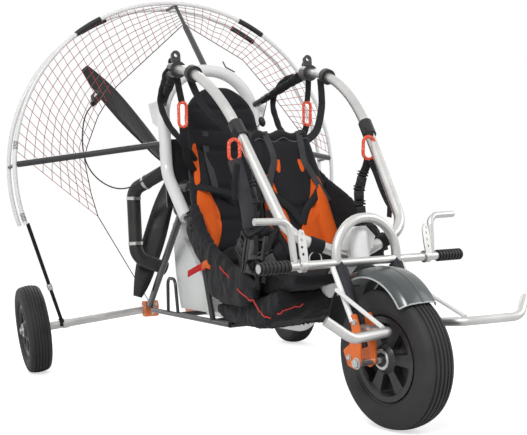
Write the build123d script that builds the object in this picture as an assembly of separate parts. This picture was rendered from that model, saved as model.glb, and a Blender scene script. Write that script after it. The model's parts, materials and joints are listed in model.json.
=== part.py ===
"""Two-seat paramotor trike, parked on its three wheels, nose towards -Y.

Millimetres, +Z up, +X to the vehicle's left. The floor is at Z = 0 and the origin is at the
middle of the footprint. Places along the vehicle are given as millimetres ahead of the rear axle.
"""
from math import cos, radians, sin, tan
import os

from build123d import *

os.makedirs("parts", exist_ok=True)

# Driving dimensions
WHEELBASE = 1976
AXLE_Y = 1011
WHEEL_TRACK = 1328
TYRE_D = 400
TYRE_W = 100
TYRE_CROWN_R = 120
RIM_D = 240
RIM_W = 78
HUB_D = 62
HUB_W = 90
HUB_BORE_D = 20
RUNNING_CLEARANCE = 0.05
SEAT_GAP = 0.3

# Rear axle
AXLE_SLOPE = 4.6
AXLE_TUBE_D = 40
AXLE_INNER_X = 112
AXLE_OUTER_X = 590
AXLE_COLLAR_D = 46
AXLE_COLLAR_L = 30

# Steering
STEER_RAKE = 3
STEER_BEHIND = 128
STEER_AHEAD = WHEELBASE - STEER_BEHIND
STEER_Z = 530
STEER_REST = 8.5
HEAD_D = 56
HEAD_BOTTOM = -46
HEAD_TOP = 18
STEERER_D = 30

# Keel and lower frame
KEEL_D = 60
KEEL_Z = 262
KEEL_ELBOW_AHEAD = STEER_AHEAD - 398
KEEL_REAR_AHEAD = 520
KEEL_ELBOW_R = 150
RAIL_D = 22
RAIL_X = 150
RAIL_Z = 250
RAIL_FRONT_AHEAD = 1160

# Main loop behind the rear seat
LOOP_D = 50
LOOP_AHEAD = 680
LOOP_HALF = 200
LOOP_TOP_Z = 1295
LOOP_BEND_Z = 840
LOOP_FOOT_AHEAD = 885
LOOP_FOOT_Z = 650

# Arches that carry the wing's hang points
ARCH_D = 34
ARCH_POINTS = (
    # out, ahead, height
    (272, LOOP_AHEAD + 340, 1199),
    (262, STEER_AHEAD - 460, 1129),
    (200, STEER_AHEAD - 60, 560),
    (26, STEER_AHEAD - 36, 492),
)
ARCH_RADII = (725, 110)
HANG_ALONG = 58
HANG_EYE_D = 14
HANG_EYE_Z = 22

# Propeller and engine
PROP_AHEAD = 172
PROP_Z = 900
PROP_HUB_D = 100
PROP_HUB_T = 34
PROP_SHAFT_D = 30
BLADES = 3

# Cage
CAGE_AHEAD = 339
CAGE_REAR_AHEAD = 203
CAGE_R = 756
CAGE_FLARE = 6
CAGE_REAR_R = CAGE_R + CAGE_FLARE
CAGE_TUBE_D = 18
CAGE_Z = 891
CAGE_OPEN_BELOW = -17


def ahead(distance):
    """Y of a station given as the distance ahead of the rear axle."""
    return AXLE_Y - distance


def at(x, station, z):
    return Vector(x, ahead(station), z)


def between(start, end, share):
    """Point on the way from start to end."""
    return start + (end - start) * share


def bent_tube(points, radii, diameter):
    """Round tube along straight runs joined by tangent arcs."""
    path = FilletPolyline(*points, radius=list(radii))
    start = Plane(path @ 0, z_dir=path % 0)
    return sweep(start * Circle(diameter / 2), path=path)


def rod(start, end, diameter):
    """Round bar between two points."""
    axis = Vector(*end) - Vector(*start)
    return extrude(Plane(Vector(*start), z_dir=axis) * Circle(diameter / 2), axis.length)


def flat_bar(start, end, width, thick, face):
    """Flat bar between two points, its wide side square to the face direction."""
    axis = Vector(*end) - Vector(*start)
    across = axis.cross(Vector(*face)).normalized()
    return extrude(Plane(Vector(*start), x_dir=across, z_dir=axis) * Rectangle(width, thick), axis.length)


def panel(corners, thick):
    """Flat panel whose corners lie in the plane of the first three."""
    along = corners[1] - corners[0]
    plane = Plane(corners[0], x_dir=along, z_dir=along.cross(corners[2] - corners[0]))
    flat = [plane.to_local_coords(corner) for corner in corners]
    outline = Polyline(*[(point.X, point.Y) for point in flat], close=True)
    return extrude(plane * make_face(outline), thick / 2, both=True)


def largest(shape):
    """The biggest solid of a cut shape, without the slivers."""
    return max(shape.solids(), key=lambda solid: solid.volume)


def join(shapes):
    """One shape from several that touch or overlap."""
    first, *rest = shapes
    for shape in rest:
        first = first + shape
    return first


def several(shapes):
    """Separate solids kept in one node."""
    solids = []
    for shape in shapes:
        solids.extend(shape.solids())
    return Compound(solids)


nodes = {}

# Wheels, made about the X axis

RIM_R = RIM_D / 2
TYRE_R = TYRE_D / 2


def tyre():
    """Low-pressure tyre: flat sides, round shoulders and a crowned tread."""
    half = TYRE_W / 2
    bead = RIM_W / 2 - 10
    crown_z = TYRE_R - TYRE_CROWN_R
    edge_x = half - 12
    edge_r = crown_z + (TYRE_CROWN_R**2 - edge_x**2) ** 0.5
    side_r = edge_r - 26
    outline = [
        Line((-bead, RIM_R), (bead, RIM_R)),
        ThreePointArc((bead, RIM_R), (half - 4, (RIM_R + side_r) / 2 - 8), (half, side_r)),
        ThreePointArc((half, side_r), (half - 3.5, edge_r - 9), (edge_x, edge_r)),
        ThreePointArc((edge_x, edge_r), (0, TYRE_R), (-edge_x, edge_r)),
        ThreePointArc((-edge_x, edge_r), (-half + 3.5, edge_r - 9), (-half, side_r)),
        ThreePointArc((-half, side_r), (-half + 4, (RIM_R + side_r) / 2 - 8), (-bead, RIM_R)),
    ]
    return revolve(make_face(Curve() + outline), Axis.X)


POCKETS = 6
POCKET_INNER_R = 42
POCKET_OUTER_R = 98
RIM_WEB = 10


def rim():
    """Moulded rim: barrel with flanges, hub, and a web between tapered pockets on both sides."""
    half = RIM_W / 2
    section = Polyline(
        (-half, RIM_R - 16),
        (-half, RIM_R - SEAT_GAP),
        (half, RIM_R - SEAT_GAP),
        (half, RIM_R - 16),
        (half - 8, POCKET_OUTER_R),
        (HUB_W / 2 - 12, POCKET_INNER_R),
        (HUB_W / 2, HUB_D / 2),
        (HUB_W / 2, HUB_BORE_D / 2 + RUNNING_CLEARANCE),
        (-HUB_W / 2, HUB_BORE_D / 2 + RUNNING_CLEARANCE),
        (-HUB_W / 2, HUB_D / 2),
        (-HUB_W / 2 + 12, POCKET_INNER_R),
        (-half + 8, POCKET_OUTER_R),
        close=True,
    )
    body = revolve(make_face(section), Axis.X)
    pocket = Polyline(
        (POCKET_INNER_R, -10), (POCKET_OUTER_R, -34), (POCKET_OUTER_R, 34), (POCKET_INNER_R, 10), close=True
    )
    for side in (1, -1):
        face = Plane((side * RIM_WEB / 2, 0, 0), x_dir=(0, 0, 1), z_dir=(side, 0, 0)) * make_face(pocket)
        cutter = extrude(face, RIM_W)
        cutter = fillet(cutter.edges().filter_by(Axis.X), 8)
        for step in range(POCKETS):
            body -= cutter.rotate(Axis.X, step * 360 / POCKETS)
    return body


# Rear axle: each side's tube slopes down outwards and its wheel leans with it

REAR_WHEEL_Z = (TYRE_R - TYRE_CROWN_R) * cos(radians(AXLE_SLOPE)) + TYRE_CROWN_R
REAR_WHEEL_X = WHEEL_TRACK / 2


def axle_point(side, out):
    """Point on the sloping axle line at a distance out from the middle."""
    rise = (REAR_WHEEL_X - out) * tan(radians(AXLE_SLOPE))
    return at(side * out, 0, REAR_WHEEL_Z + rise)


STUB_END_X = REAR_WHEEL_X + HUB_W / 2 + 14
HUB_SHOULDER = HUB_W / 2 + 1
for side, name in ((-1, "right"), (1, "left")):
    lean = Rot(0, side * AXLE_SLOPE, 0)
    seat = Pos(axle_point(side, REAR_WHEEL_X)) * lean
    nodes["rear_tyre_" + name] = seat * tyre()
    nodes["rear_rim_" + name] = seat * rim()
    tube = rod(axle_point(side, AXLE_INNER_X), axle_point(side, AXLE_OUTER_X), AXLE_TUBE_D)
    stub = rod(axle_point(side, AXLE_OUTER_X), axle_point(side, STUB_END_X), HUB_BORE_D)
    spacer = rod(axle_point(side, AXLE_OUTER_X), axle_point(side, REAR_WHEEL_X - HUB_SHOULDER), HUB_D - 26)
    nut_end = axle_point(side, STUB_END_X - 2)
    nut = rod(axle_point(side, REAR_WHEEL_X + HUB_SHOULDER), nut_end, HUB_BORE_D + 12)
    collar_x = AXLE_OUTER_X - 60
    collar = rod(axle_point(side, collar_x - AXLE_COLLAR_L), axle_point(side, collar_x), AXLE_COLLAR_D)
    nodes["rear_axle_" + name] = join([tube, stub, spacer, nut, collar])

# Lower frame: two rails with cross members, uprights, and the hoops that guard the tank

UPRIGHT_AHEAD = 985
UPRIGHT_TOP = (190, 600)
RAIL_TURN_AHEAD = 200
RAIL_END = (92, 20)
GUARD_HOOPS_AHEAD = (500, 560)
GUARD_HOOP_TOP_Z = 402
GUARD_HOOP_D = 14

rails = []
for side in (-1, 1):
    rail_path = [
        at(side * RAIL_X, RAIL_FRONT_AHEAD, RAIL_Z),
        at(side * RAIL_X, RAIL_TURN_AHEAD, RAIL_Z),
        at(side * RAIL_END[0], RAIL_END[1], RAIL_Z),
    ]
    upright_top = at(side * UPRIGHT_TOP[0], UPRIGHT_AHEAD, UPRIGHT_TOP[1])
    rails.append(bent_tube(rail_path, [120], RAIL_D))
    rails.append(rod(at(side * RAIL_X, UPRIGHT_AHEAD, RAIL_Z), upright_top, RAIL_D))
    rails.append(rod(upright_top, at(side * LOOP_HALF, LOOP_FOOT_AHEAD, LOOP_FOOT_Z), RAIL_D))
for station in (RAIL_FRONT_AHEAD, UPRIGHT_AHEAD, GUARD_HOOPS_AHEAD[1]):
    rails.append(rod(at(-RAIL_X, station, RAIL_Z), at(RAIL_X, station, RAIL_Z), RAIL_D))
for side in (-1, 1):
    hoop_path = [
        at(side * RAIL_X, GUARD_HOOPS_AHEAD[0] - 70, RAIL_Z),
        at(side * RAIL_X, GUARD_HOOPS_AHEAD[0] - 50, GUARD_HOOP_TOP_Z),
        at(side * RAIL_X, GUARD_HOOPS_AHEAD[1] - 10, GUARD_HOOP_TOP_Z),
        at(side * RAIL_X, GUARD_HOOPS_AHEAD[1] + 5, RAIL_Z),
    ]
    rails.append(bent_tube(hoop_path, [34, 34], GUARD_HOOP_D))
keel_clear = rod(at(0, 0, KEEL_Z), at(0, KEEL_ELBOW_AHEAD, KEEL_Z), KEEL_D)
nodes["lower_frame"] = join(rails) - keel_clear

BRACKET_X = 110
BRACKET_DEPTH = 74
BRACKET_H = 74
brackets = []
for side in (-1, 1):
    block = Pos(side * BRACKET_X, ahead(18), axle_point(1, BRACKET_X).Z) * Box(64, BRACKET_DEPTH, BRACKET_H)
    block = chamfer(block.edges().filter_by(Axis.X), 14)
    bore = rod(axle_point(side, AXLE_INNER_X), axle_point(side, AXLE_OUTER_X), AXLE_TUBE_D)
    brackets.append(block - bore - nodes["lower_frame"])
nodes["axle_brackets"] = several(brackets)

# Keel tube and steering head

head_foot = at(0, STEER_AHEAD, STEER_Z)
steer_dir = Vector(0, sin(radians(STEER_RAKE)), cos(radians(STEER_RAKE)))
STEER_AXIS = Axis(head_foot, steer_dir)
head_tube = rod(head_foot + steer_dir * HEAD_BOTTOM, head_foot + steer_dir * HEAD_TOP, HEAD_D)
dome = Pos(head_foot + steer_dir * HEAD_TOP) * Sphere(HEAD_D / 2)
bore = rod(
    head_foot + steer_dir * (HEAD_BOTTOM - 5),
    head_foot + steer_dir * (HEAD_TOP - 4),
    STEERER_D + 2 * RUNNING_CLEARANCE,
)
gusset = make_face(Polyline((-62, -14), (-50, 22), (50, 22), (62, -14), (32, -46), (-32, -46), close=True))
gusset_plane = Plane(at(0, STEER_AHEAD - 12, STEER_Z), x_dir=(1, 0, 0), z_dir=(0, 1, 0))
gusset = extrude(gusset_plane * gusset, 4, both=True)
head = join([head_tube, dome, gusset]) - bore
keel_path = [
    at(0, STEER_AHEAD - HEAD_D / 2 + 6, STEER_Z - 28),
    at(0, KEEL_ELBOW_AHEAD, KEEL_Z),
    at(0, KEEL_REAR_AHEAD, KEEL_Z),
]
keel = bent_tube(keel_path, [KEEL_ELBOW_R], KEEL_D)
below_head = rod(head_foot + steer_dir * -200, head_foot + steer_dir * HEAD_BOTTOM, HEAD_D + 16)
head_room = rod(head_foot + steer_dir * HEAD_BOTTOM, head_foot + steer_dir * 200, HEAD_D)
nodes["keel_tube"] = keel - head_room - below_head
nodes["steering_head"] = head

# Arches and what is clamped on them

for side, name in ((-1, "right"), (1, "left")):
    points = [at(side * x, station, z) for x, station, z in ARCH_POINTS]
    arch = bent_tube(points, ARCH_RADII, ARCH_D)
    nodes["arch_" + name] = (arch - head_tube - gusset - keel).solids().sort_by(SortBy.VOLUME)[-1]


def arch_line(side):
    points = [at(side * x, station, z) for x, station, z in ARCH_POINTS]
    return FilletPolyline(*points, radius=list(ARCH_RADII))


ARCH_FITTINGS = (
    # name, distance along the arch from its rear end, length, diameter
    ("hang_block", HANG_ALONG, 46, 62),
    ("arch_clamp", 226, 26, 58),
    ("arch_collar", 622, 60, 46),
)
LUG_W = 34
LUG_H = 62
LUG_T = 12
for name, along, length, diameter in ARCH_FITTINGS:
    pair = []
    for side in (-1, 1):
        line = arch_line(side)
        middle = line.position_at(along, position_mode=PositionMode.LENGTH)
        direction = line.tangent_at(along, position_mode=PositionMode.LENGTH)
        ring = extrude(Plane(middle, z_dir=direction) * Circle(diameter / 2), length / 2, both=True)
        if name == "hang_block":
            eye_place = Pos(middle + Vector(0, 0, diameter / 2 + HANG_EYE_Z)) * Rot(90, 0, 0)
            lug = Pos(0, -(LUG_H - LUG_W) / 2) * Rot(0, 0, 90) * SlotOverall(LUG_H, LUG_W)
            lug = extrude(lug, LUG_T / 2, both=True)
            ring = ring + eye_place * lug - eye_place * Cylinder(HANG_EYE_D / 2, 40)
        points = [at(side * x, station, z) for x, station, z in ARCH_POINTS]
        pair.append(ring - bent_tube(points, ARCH_RADII, ARCH_D + 2 * SEAT_GAP))
    nodes[name + "s"] = several(pair)

# Main loop frame with its gussets, and the bars that carry the arches

loop_points = [
    at(-LOOP_HALF, LOOP_FOOT_AHEAD, LOOP_FOOT_Z),
    at(-LOOP_HALF, LOOP_AHEAD, LOOP_BEND_Z),
    at(-LOOP_HALF, LOOP_AHEAD, LOOP_TOP_Z - LOOP_D / 2),
    at(LOOP_HALF, LOOP_AHEAD, LOOP_TOP_Z - LOOP_D / 2),
    at(LOOP_HALF, LOOP_AHEAD, LOOP_BEND_Z),
    at(LOOP_HALF, LOOP_FOOT_AHEAD, LOOP_FOOT_Z),
]
LOOP_TOP_R = LOOP_HALF - 5
GUSSET_Z = (1010, 1150)
GUSSET_OUT = 62
GUSSET_T = 4
loop = bent_tube(loop_points, [110, LOOP_TOP_R, LOOP_TOP_R, 110], LOOP_D)
loop_with_gussets = loop
for side in (-1, 1):
    corners = [
        at(side * LOOP_HALF, LOOP_AHEAD, GUSSET_Z[0]),
        at(side * (LOOP_HALF + GUSSET_OUT - 14), LOOP_AHEAD, GUSSET_Z[0] + 40),
        at(side * (LOOP_HALF + GUSSET_OUT), LOOP_AHEAD, GUSSET_Z[1] - 24),
        at(side * LOOP_HALF, LOOP_AHEAD, GUSSET_Z[1]),
    ]
    loop_with_gussets += panel(corners, GUSSET_T)
nodes["loop_frame"] = loop_with_gussets - nodes["lower_frame"]

SPREADER_D = 24
SPREADER_Z = 1120
bars = []
for side in (-1, 1):
    start = arch_line(side).position_at(20, position_mode=PositionMode.LENGTH)
    end = at(side * (LOOP_HALF - 2), LOOP_AHEAD, SPREADER_Z)
    bar = rod(start, end, SPREADER_D) - nodes["loop_frame"] - nodes["arch_right"] - nodes["arch_left"]
    bars.append(largest(bar - nodes["hang_blocks"]))
nodes["spreader_bars"] = several(bars)

STRUT_W = 44
STRUT_T = 24
struts = []
for side in (-1, 1):
    start = at(side * LOOP_HALF, LOOP_FOOT_AHEAD - 40, LOOP_FOOT_Z + 34)
    end = at(side * 140, 120, RAIL_Z + 20)
    axis = end - start
    oval = Plane(start, x_dir=axis.cross(Vector(1, 0, 0)), z_dir=axis) * Ellipse(STRUT_W / 2, STRUT_T / 2)
    strut = extrude(oval, axis.length)
    struts.append(largest(strut - loop - nodes["lower_frame"]))
nodes["frame_struts"] = several(struts)

# Engine on its plate, with the belt drive up to the propeller shaft

ENGINE_PLATE_AHEAD = 655
PLATE_THICK = 10
CRANK_Z = 740
GLAND_D = 12
THROTTLE_ROUTE = (
    # out, ahead, height: from the hand grip down in a slack loop and up to the engine plate
    (-402, 310, 1187),
    (-434, 334, 1154),
    (-459, 362, 1106),
    (-474, 388, 1046),
    (-482, 412, 980),
    (-477, 438, 914),
    (-453, 466, 858),
    (-411, 494, 814),
    (-358, 520, 792),
    (-304, 544, 802),
    (-257, 566, 832),
    (-214, 588, 864),
    (-178, 612, 890),
    (-158, 636, 903),
)
THROTTLE_CABLE_D = 6
route = [at(out, station, z) for out, station, z in THROTTLE_ROUTE]
cable_end = route[-1]
cable_way = (route[-1] - route[-2]).normalized()
plate = Pos(0, ahead(ENGINE_PLATE_AHEAD), 845) * Box(2 * LOOP_HALF, PLATE_THICK, 280)
for x, z, r in ((0, 900, 46), (-120, 790, 26), (120, 790, 26)):
    plate -= Pos(x, ahead(ENGINE_PLATE_AHEAD), z) * Rot(90, 0, 0) * Cylinder(r, 2 * PLATE_THICK)
gland = rod(cable_end, cable_end + cable_way * 22, GLAND_D)
nodes["engine_plate"] = plate - loop + gland

bend_radii = []
for before, corner, after in zip(route, route[1:], route[2:]):
    turn = (corner - before).get_angle(after - corner)
    run = min((corner - before).length, (after - corner).length)
    bend_radii.append(0.45 * run / tan(radians(turn / 2)))
print("throttle cable radii", [round(radius) for radius in bend_radii])
nodes["throttle_cable"] = bent_tube(route, bend_radii, THROTTLE_CABLE_D)

GRIP_L = 96
GRIP_W = 30
TRIGGER_HALF = 9
grip_top = ((13, GRIP_L - 22), (20, GRIP_L), (-16, GRIP_L))
grip_side = Polyline((-10, 0), (10, 0), (15, 20), *grip_top, (-13, 20), close=True)
grip = extrude(make_face(grip_side), GRIP_W / 2, both=True)
grip = fillet(grip.edges().filter_by(Axis.Z), 5)
trigger_tip = ((32, GRIP_L - 26), (27, GRIP_L - 26))
trigger_side = Polyline((15, 18), (30, 34), *trigger_tip, (24, 38), (13, 26), close=True)
trigger = extrude(make_face(trigger_side), TRIGGER_HALF, both=True)
grip_way = (route[0] - route[1]).normalized()
grip_across = grip_way.cross(Vector(0, 1, 0))
grip_plane = Plane(route[0], x_dir=grip_across, z_dir=grip_across.cross(grip_way))
nodes["throttle_handle"] = grip_plane * join([grip, trigger])

CASE_L = 236
CASE_W = 190
CASE_H = 150
CASE_FRONT = ENGINE_PLATE_AHEAD - PLATE_THICK / 2 - SEAT_GAP
case = Pos(0, ahead(CASE_FRONT - CASE_L / 2), CRANK_Z) * Box(CASE_W, CASE_L, CASE_H)
case = fillet(case.edges().filter_by(Axis.Y), 40)
for station in (CASE_FRONT - 40, CASE_FRONT - CASE_L / 2, CASE_FRONT - CASE_L + 40):
    rib = Pos(0, ahead(station), CRANK_Z) * Box(CASE_W + 14, 8, CASE_H - 60)
    case += rib
for side in (-1, 1):
    case += Pos(side * 60, ahead(CASE_FRONT - 14), CRANK_Z - CASE_H / 2 - 6) * Box(40, 28, 30)
cover = rod(at(0, CASE_FRONT - CASE_L, CRANK_Z), at(0, CASE_FRONT - CASE_L - 12, CRANK_Z), 120)
nodes["engine_block"] = case + cover

CYLINDER_AHEAD = 500
CYLINDER_FOOT = CRANK_Z + CASE_H / 2 + SEAT_GAP
CYLINDER_D = 84
FINS = 9
FIN_PITCH = 13
FIN_T = 4
fins = [extrude(Plane(at(0, CYLINDER_AHEAD, CYLINDER_FOOT)) * Circle(CYLINDER_D / 2), (FINS + 1) * FIN_PITCH)]
for step in range(FINS):
    width = 146 - 6 * max(0, step - 5)
    fin = RectangleRounded(width, width, 26)
    fins.append(extrude(Plane(at(0, CYLINDER_AHEAD, CYLINDER_FOOT + (step + 1) * FIN_PITCH)) * fin, FIN_T))
plug_foot = CYLINDER_FOOT + (FINS + 1) * FIN_PITCH
fins.append(extrude(Plane(at(0, CYLINDER_AHEAD, plug_foot)) * RegularPolygon(12, 6), 12))
fins.append(extrude(Plane(at(0, CYLINDER_AHEAD, plug_foot + 12)) * Circle(9), 26))
nodes["engine_cylinder"] = join(fins)

INTAKE_Z = CYLINDER_FOOT + 42
intake = [
    rod(at(73 + SEAT_GAP, CYLINDER_AHEAD, INTAKE_Z), at(96, CYLINDER_AHEAD, INTAKE_Z), 44),
    Pos(112, ahead(CYLINDER_AHEAD), INTAKE_Z) * Box(34, 56, 60),
    rod(at(128, CYLINDER_AHEAD, INTAKE_Z), at(146, CYLINDER_AHEAD, INTAKE_Z), 48),
    rod(at(146, CYLINDER_AHEAD, INTAKE_Z), at(196, CYLINDER_AHEAD, INTAKE_Z), 92),
]
for step in range(4):
    rib_x = 152 + step * 12
    intake.append(rod(at(rib_x, CYLINDER_AHEAD, INTAKE_Z), at(rib_x + 5, CYLINDER_AHEAD, INTAKE_Z), 98))
nodes["carburettor"] = join(intake)

# Belt drive: a small pulley on the crank, a carrier with the propeller shaft, and the belt round both

PULLEY_AHEAD = (230, 300)
PULLEY_D = 150
CRANK_PULLEY_D = 62
BELT_T = 8
BELT_AHEAD = (240, 290)
crank_end = CASE_FRONT - CASE_L - 12
small = rod(at(0, PULLEY_AHEAD[0], CRANK_Z), at(0, PULLEY_AHEAD[1], CRANK_Z), CRANK_PULLEY_D)
stub = rod(at(0, PULLEY_AHEAD[1], CRANK_Z), at(0, crank_end - SEAT_GAP, CRANK_Z), 34)
carrier = Pos(0, ahead(345), (CRANK_Z + PROP_Z) / 2 + 20) * Box(74, 16, 236)
carrier = fillet(carrier.edges().filter_by(Axis.Y), 30)
arm = Pos(0, ahead((345 + CASE_FRONT - CASE_L) / 2), CRANK_Z - 50) * Box(70, CASE_FRONT - CASE_L - 345, 30)
shaft = rod(at(0, PROP_AHEAD - 30, PROP_Z), at(0, 352, PROP_Z), PROP_SHAFT_D)
nodes["drive_carrier"] = largest(join([carrier, shaft, small, stub, arm]) - nodes["engine_block"])


def belt_outline(grow):
    """Outline round both pulleys, that much outside them."""
    upper = Pos(0, PROP_Z) * Circle(PULLEY_D / 2 + grow)
    lower = Pos(0, CRANK_Z) * Circle(CRANK_PULLEY_D / 2 + grow)
    return make_hull(upper.edges() + lower.edges())


belt_plane = Plane(at(0, BELT_AHEAD[0], 0), x_dir=(1, 0, 0), z_dir=(0, -1, 0))
belt = extrude(belt_plane * belt_outline(BELT_T), BELT_AHEAD[1] - BELT_AHEAD[0])
belt -= extrude(belt_plane * belt_outline(SEAT_GAP), 60, both=True)
nodes["drive_belt"] = belt

# Propeller

pulley = rod(at(0, PULLEY_AHEAD[0], PROP_Z), at(0, PULLEY_AHEAD[1], PROP_Z), PULLEY_D)
hub = rod(at(0, PROP_AHEAD - PROP_HUB_T / 2, PROP_Z), at(0, PULLEY_AHEAD[0], PROP_Z), PROP_HUB_D)
BLADE_SECTIONS = (
    # radius, chord, thickness, pitch angle
    (40, 46, 24, 40),
    (160, 92, 17, 30),
    (340, 104, 13, 19),
    (520, 84, 9, 13),
    (622, 40, 5, 10),
)
sections = []
for radius, chord, thick, pitch in BLADE_SECTIONS:
    frame_plane = Plane((radius, 0, 0), x_dir=(0, 1, 0), z_dir=(1, 0, 0))
    sections.append(frame_plane * Rot(0, 0, pitch) * Ellipse(chord / 2, thick / 2))
blade = loft(sections)
propeller = pulley + hub
for step in range(BLADES):
    turn = Pos(at(0, PROP_AHEAD, PROP_Z)) * Rot(90, 0, 0) * Rot(0, 0, 130 + step * 360 / BLADES)
    propeller += turn * blade
bore = rod(at(0, 0, PROP_Z), at(0, 400, PROP_Z), PROP_SHAFT_D + 2 * RUNNING_CLEARANCE)
for step in range(6):
    hub_face = Pos(at(0, PROP_AHEAD - PROP_HUB_T / 2, PROP_Z)) * Rot(90, 0, 0)
    bolt = hub_face * Rot(0, 0, step * 60) * Pos(36, 0, 0)
    propeller += bolt * Cylinder(5, 12)
nodes["propeller"] = propeller - bore

# Exhaust with its band clamps, and the fuel tank

EXHAUST_D = 60
EXHAUST_POINTS = (
    # out, ahead, height: from the cylinder out, down beside the frame and back in to the silencer
    (-73, 500, 872),
    (-140, 500, 872),
    (-250, 335, 800),
    (-252, 330, 500),
    (-118, 330, 441),
)
EXHAUST_RADII = [50, 60, 75]
exhaust_path = [at(out, station, z) for out, station, z in EXHAUST_POINTS]
exhaust = bent_tube(exhaust_path, EXHAUST_RADII, EXHAUST_D)
nodes["exhaust_pipe"] = exhaust - nodes["engine_cylinder"]
exhaust_line = FilletPolyline(*exhaust_path, radius=EXHAUST_RADII)
BAND_L = 14
BAND_T = 2
bands = []
for along in (36, 190, 300, 500):
    middle = exhaust_line.position_at(along, position_mode=PositionMode.LENGTH)
    way = exhaust_line.tangent_at(along, position_mode=PositionMode.LENGTH)
    band_plane = Plane(middle, z_dir=way)
    band = extrude(band_plane * Circle(EXHAUST_D / 2 + BAND_T + SEAT_GAP), BAND_L / 2, both=True)
    screw = band_plane * Pos(EXHAUST_D / 2 + 8, 0, 0) * Box(14, 22, BAND_L - 2)
    hollow = bent_tube(exhaust_path, EXHAUST_RADII, EXHAUST_D + 2 * SEAT_GAP)
    bands.append(largest(join([band, screw]) - hollow))
nodes["exhaust_clamps"] = several(bands)

TANK_HALF = 128
TANK_SIDE = (
    # ahead, height
    (540, 276),
    (500, 430),
    (490, 640),
    (545, 650),
    (700, 520),
    (840, 410),
    (930, 360),
    (930, 276),
)
tank_side = Polyline(*[(-station, z) for station, z in TANK_SIDE], close=True)
tank_face = Plane((0, AXLE_Y, 0), x_dir=(0, 1, 0), z_dir=(1, 0, 0)) * make_face(tank_side)
tank = extrude(tank_face, TANK_HALF, both=True)
tank = fillet(tank.edges().filter_by(Axis.X), 16)
tank -= extrude(Plane(at(0, 0, KEEL_Z), z_dir=(0, -1, 0)) * Circle(KEEL_D / 2 + 1), 1200)
tank -= nodes["lower_frame"]
tank += rod(at(0, 618, 560), at(0, 640, 610), 56)
nodes["fuel_tank"] = largest(tank)

# Cage: two rings open below, black sleeves over their joints, arms from the loop frame


def ring_arc(radius, diameter, station, start, arc):
    """Part of a ring in a plane across the vehicle, angles from the left side up."""
    profile = Plane.XZ * Pos(radius, 0) * Circle(diameter / 2)
    turned = Rot(0, 0, start) * revolve(profile, Axis.Z, revolution_arc=arc)
    return Pos(at(0, station, CAGE_Z)) * Rot(90, 0, 0) * turned


SLEEVE_ARC = 10
SLEEVE_WALL = 3
RINGS = (
    # node, ahead, radius, first angles of its sleeves
    ("cage_ring_front", CAGE_AHEAD, CAGE_R, (56, 118)),
    ("cage_ring_rear", CAGE_REAR_AHEAD, CAGE_REAR_R, (55, 113)),
)
sleeves = []
for name, station, radius, starts in RINGS:
    nodes[name] = ring_arc(radius, CAGE_TUBE_D, station, CAGE_OPEN_BELOW, 180 - 2 * CAGE_OPEN_BELOW)
    for start in starts:
        outer = ring_arc(radius, CAGE_TUBE_D + 2 * SLEEVE_WALL, station, start, SLEEVE_ARC)
        sleeves.append(outer - ring_arc(radius, CAGE_TUBE_D, station, start - 2, SLEEVE_ARC + 4))
nodes["ring_sleeves"] = several(sleeves)

ARM_D = 26
ARM_END_D = 16
ARM_ROOT_Z = 965
ARM_TIP_UP = 34
SIDE_ARM_TIP = CAGE_R - 14
arms = []
for side in (-1, 1):
    tip = at(side * SIDE_ARM_TIP, CAGE_AHEAD, CAGE_Z + ARM_TIP_UP)
    rear_tip = at(side * (CAGE_REAR_R - 2), CAGE_REAR_AHEAD, CAGE_Z + ARM_TIP_UP)
    arm = rod(at(side * LOOP_HALF, LOOP_AHEAD, ARM_ROOT_Z), tip, ARM_D)
    arms.append(arm + rod(tip, rear_tip, ARM_END_D))
top_root = at(0, LOOP_AHEAD, LOOP_TOP_Z - LOOP_D / 2)
top_elbow = at(0, CAGE_AHEAD + 70, CAGE_Z + CAGE_R - 92)
top_tip = at(0, CAGE_AHEAD - 10, CAGE_Z + CAGE_R - CAGE_TUBE_D / 2 + 2)
top_end = at(0, CAGE_REAR_AHEAD, CAGE_Z + CAGE_REAR_R)
top_bow = bent_tube([between(top_root, top_elbow, 0.8), top_elbow, top_tip, top_end], [60, 40], ARM_END_D)
arms.append(rod(top_root, between(top_root, top_elbow, 0.85), ARM_D) + top_bow)
cage_arms = [largest(arm - loop - nodes["cage_ring_front"] - nodes["cage_ring_rear"]) for arm in arms]
nodes["cage_arms"] = several(cage_arms)

# Seats: reclined backs with a rounded or wavy top, bases, hip wings and the bag under the front seat


def seat_block(profile, half, radius):
    """Soft block from a side outline given as (ahead, height)."""
    outline = Polyline(*[(-station, z) for station, z in profile], close=True)
    face = Plane((0, AXLE_Y, 0), x_dir=(0, 1, 0), z_dir=(1, 0, 0)) * make_face(outline)
    block = extrude(face, half, both=True)
    return fillet(block.edges().filter_by(Axis.X), radius)


def on_line(station, first, second):
    """Height at a station on the line through two (ahead, height) points."""
    share = (station - first[0]) / (second[0] - first[0])
    return first[1] + share * (second[1] - first[1])


def seat_back(foot, top, thick, edges, radius):
    """Padded back standing on its rear face from foot to top, from its front outline."""
    slope = (top - foot).normalized()
    plane = Plane(foot, x_dir=(1, 0, 0), z_dir=(0, -slope.Z, slope.Y))
    pad = extrude(plane * make_face(Curve() + edges), thick)
    return fillet(pad.faces().sort_by(Axis(foot, plane.z_dir))[-1].edges(), radius)


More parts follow.
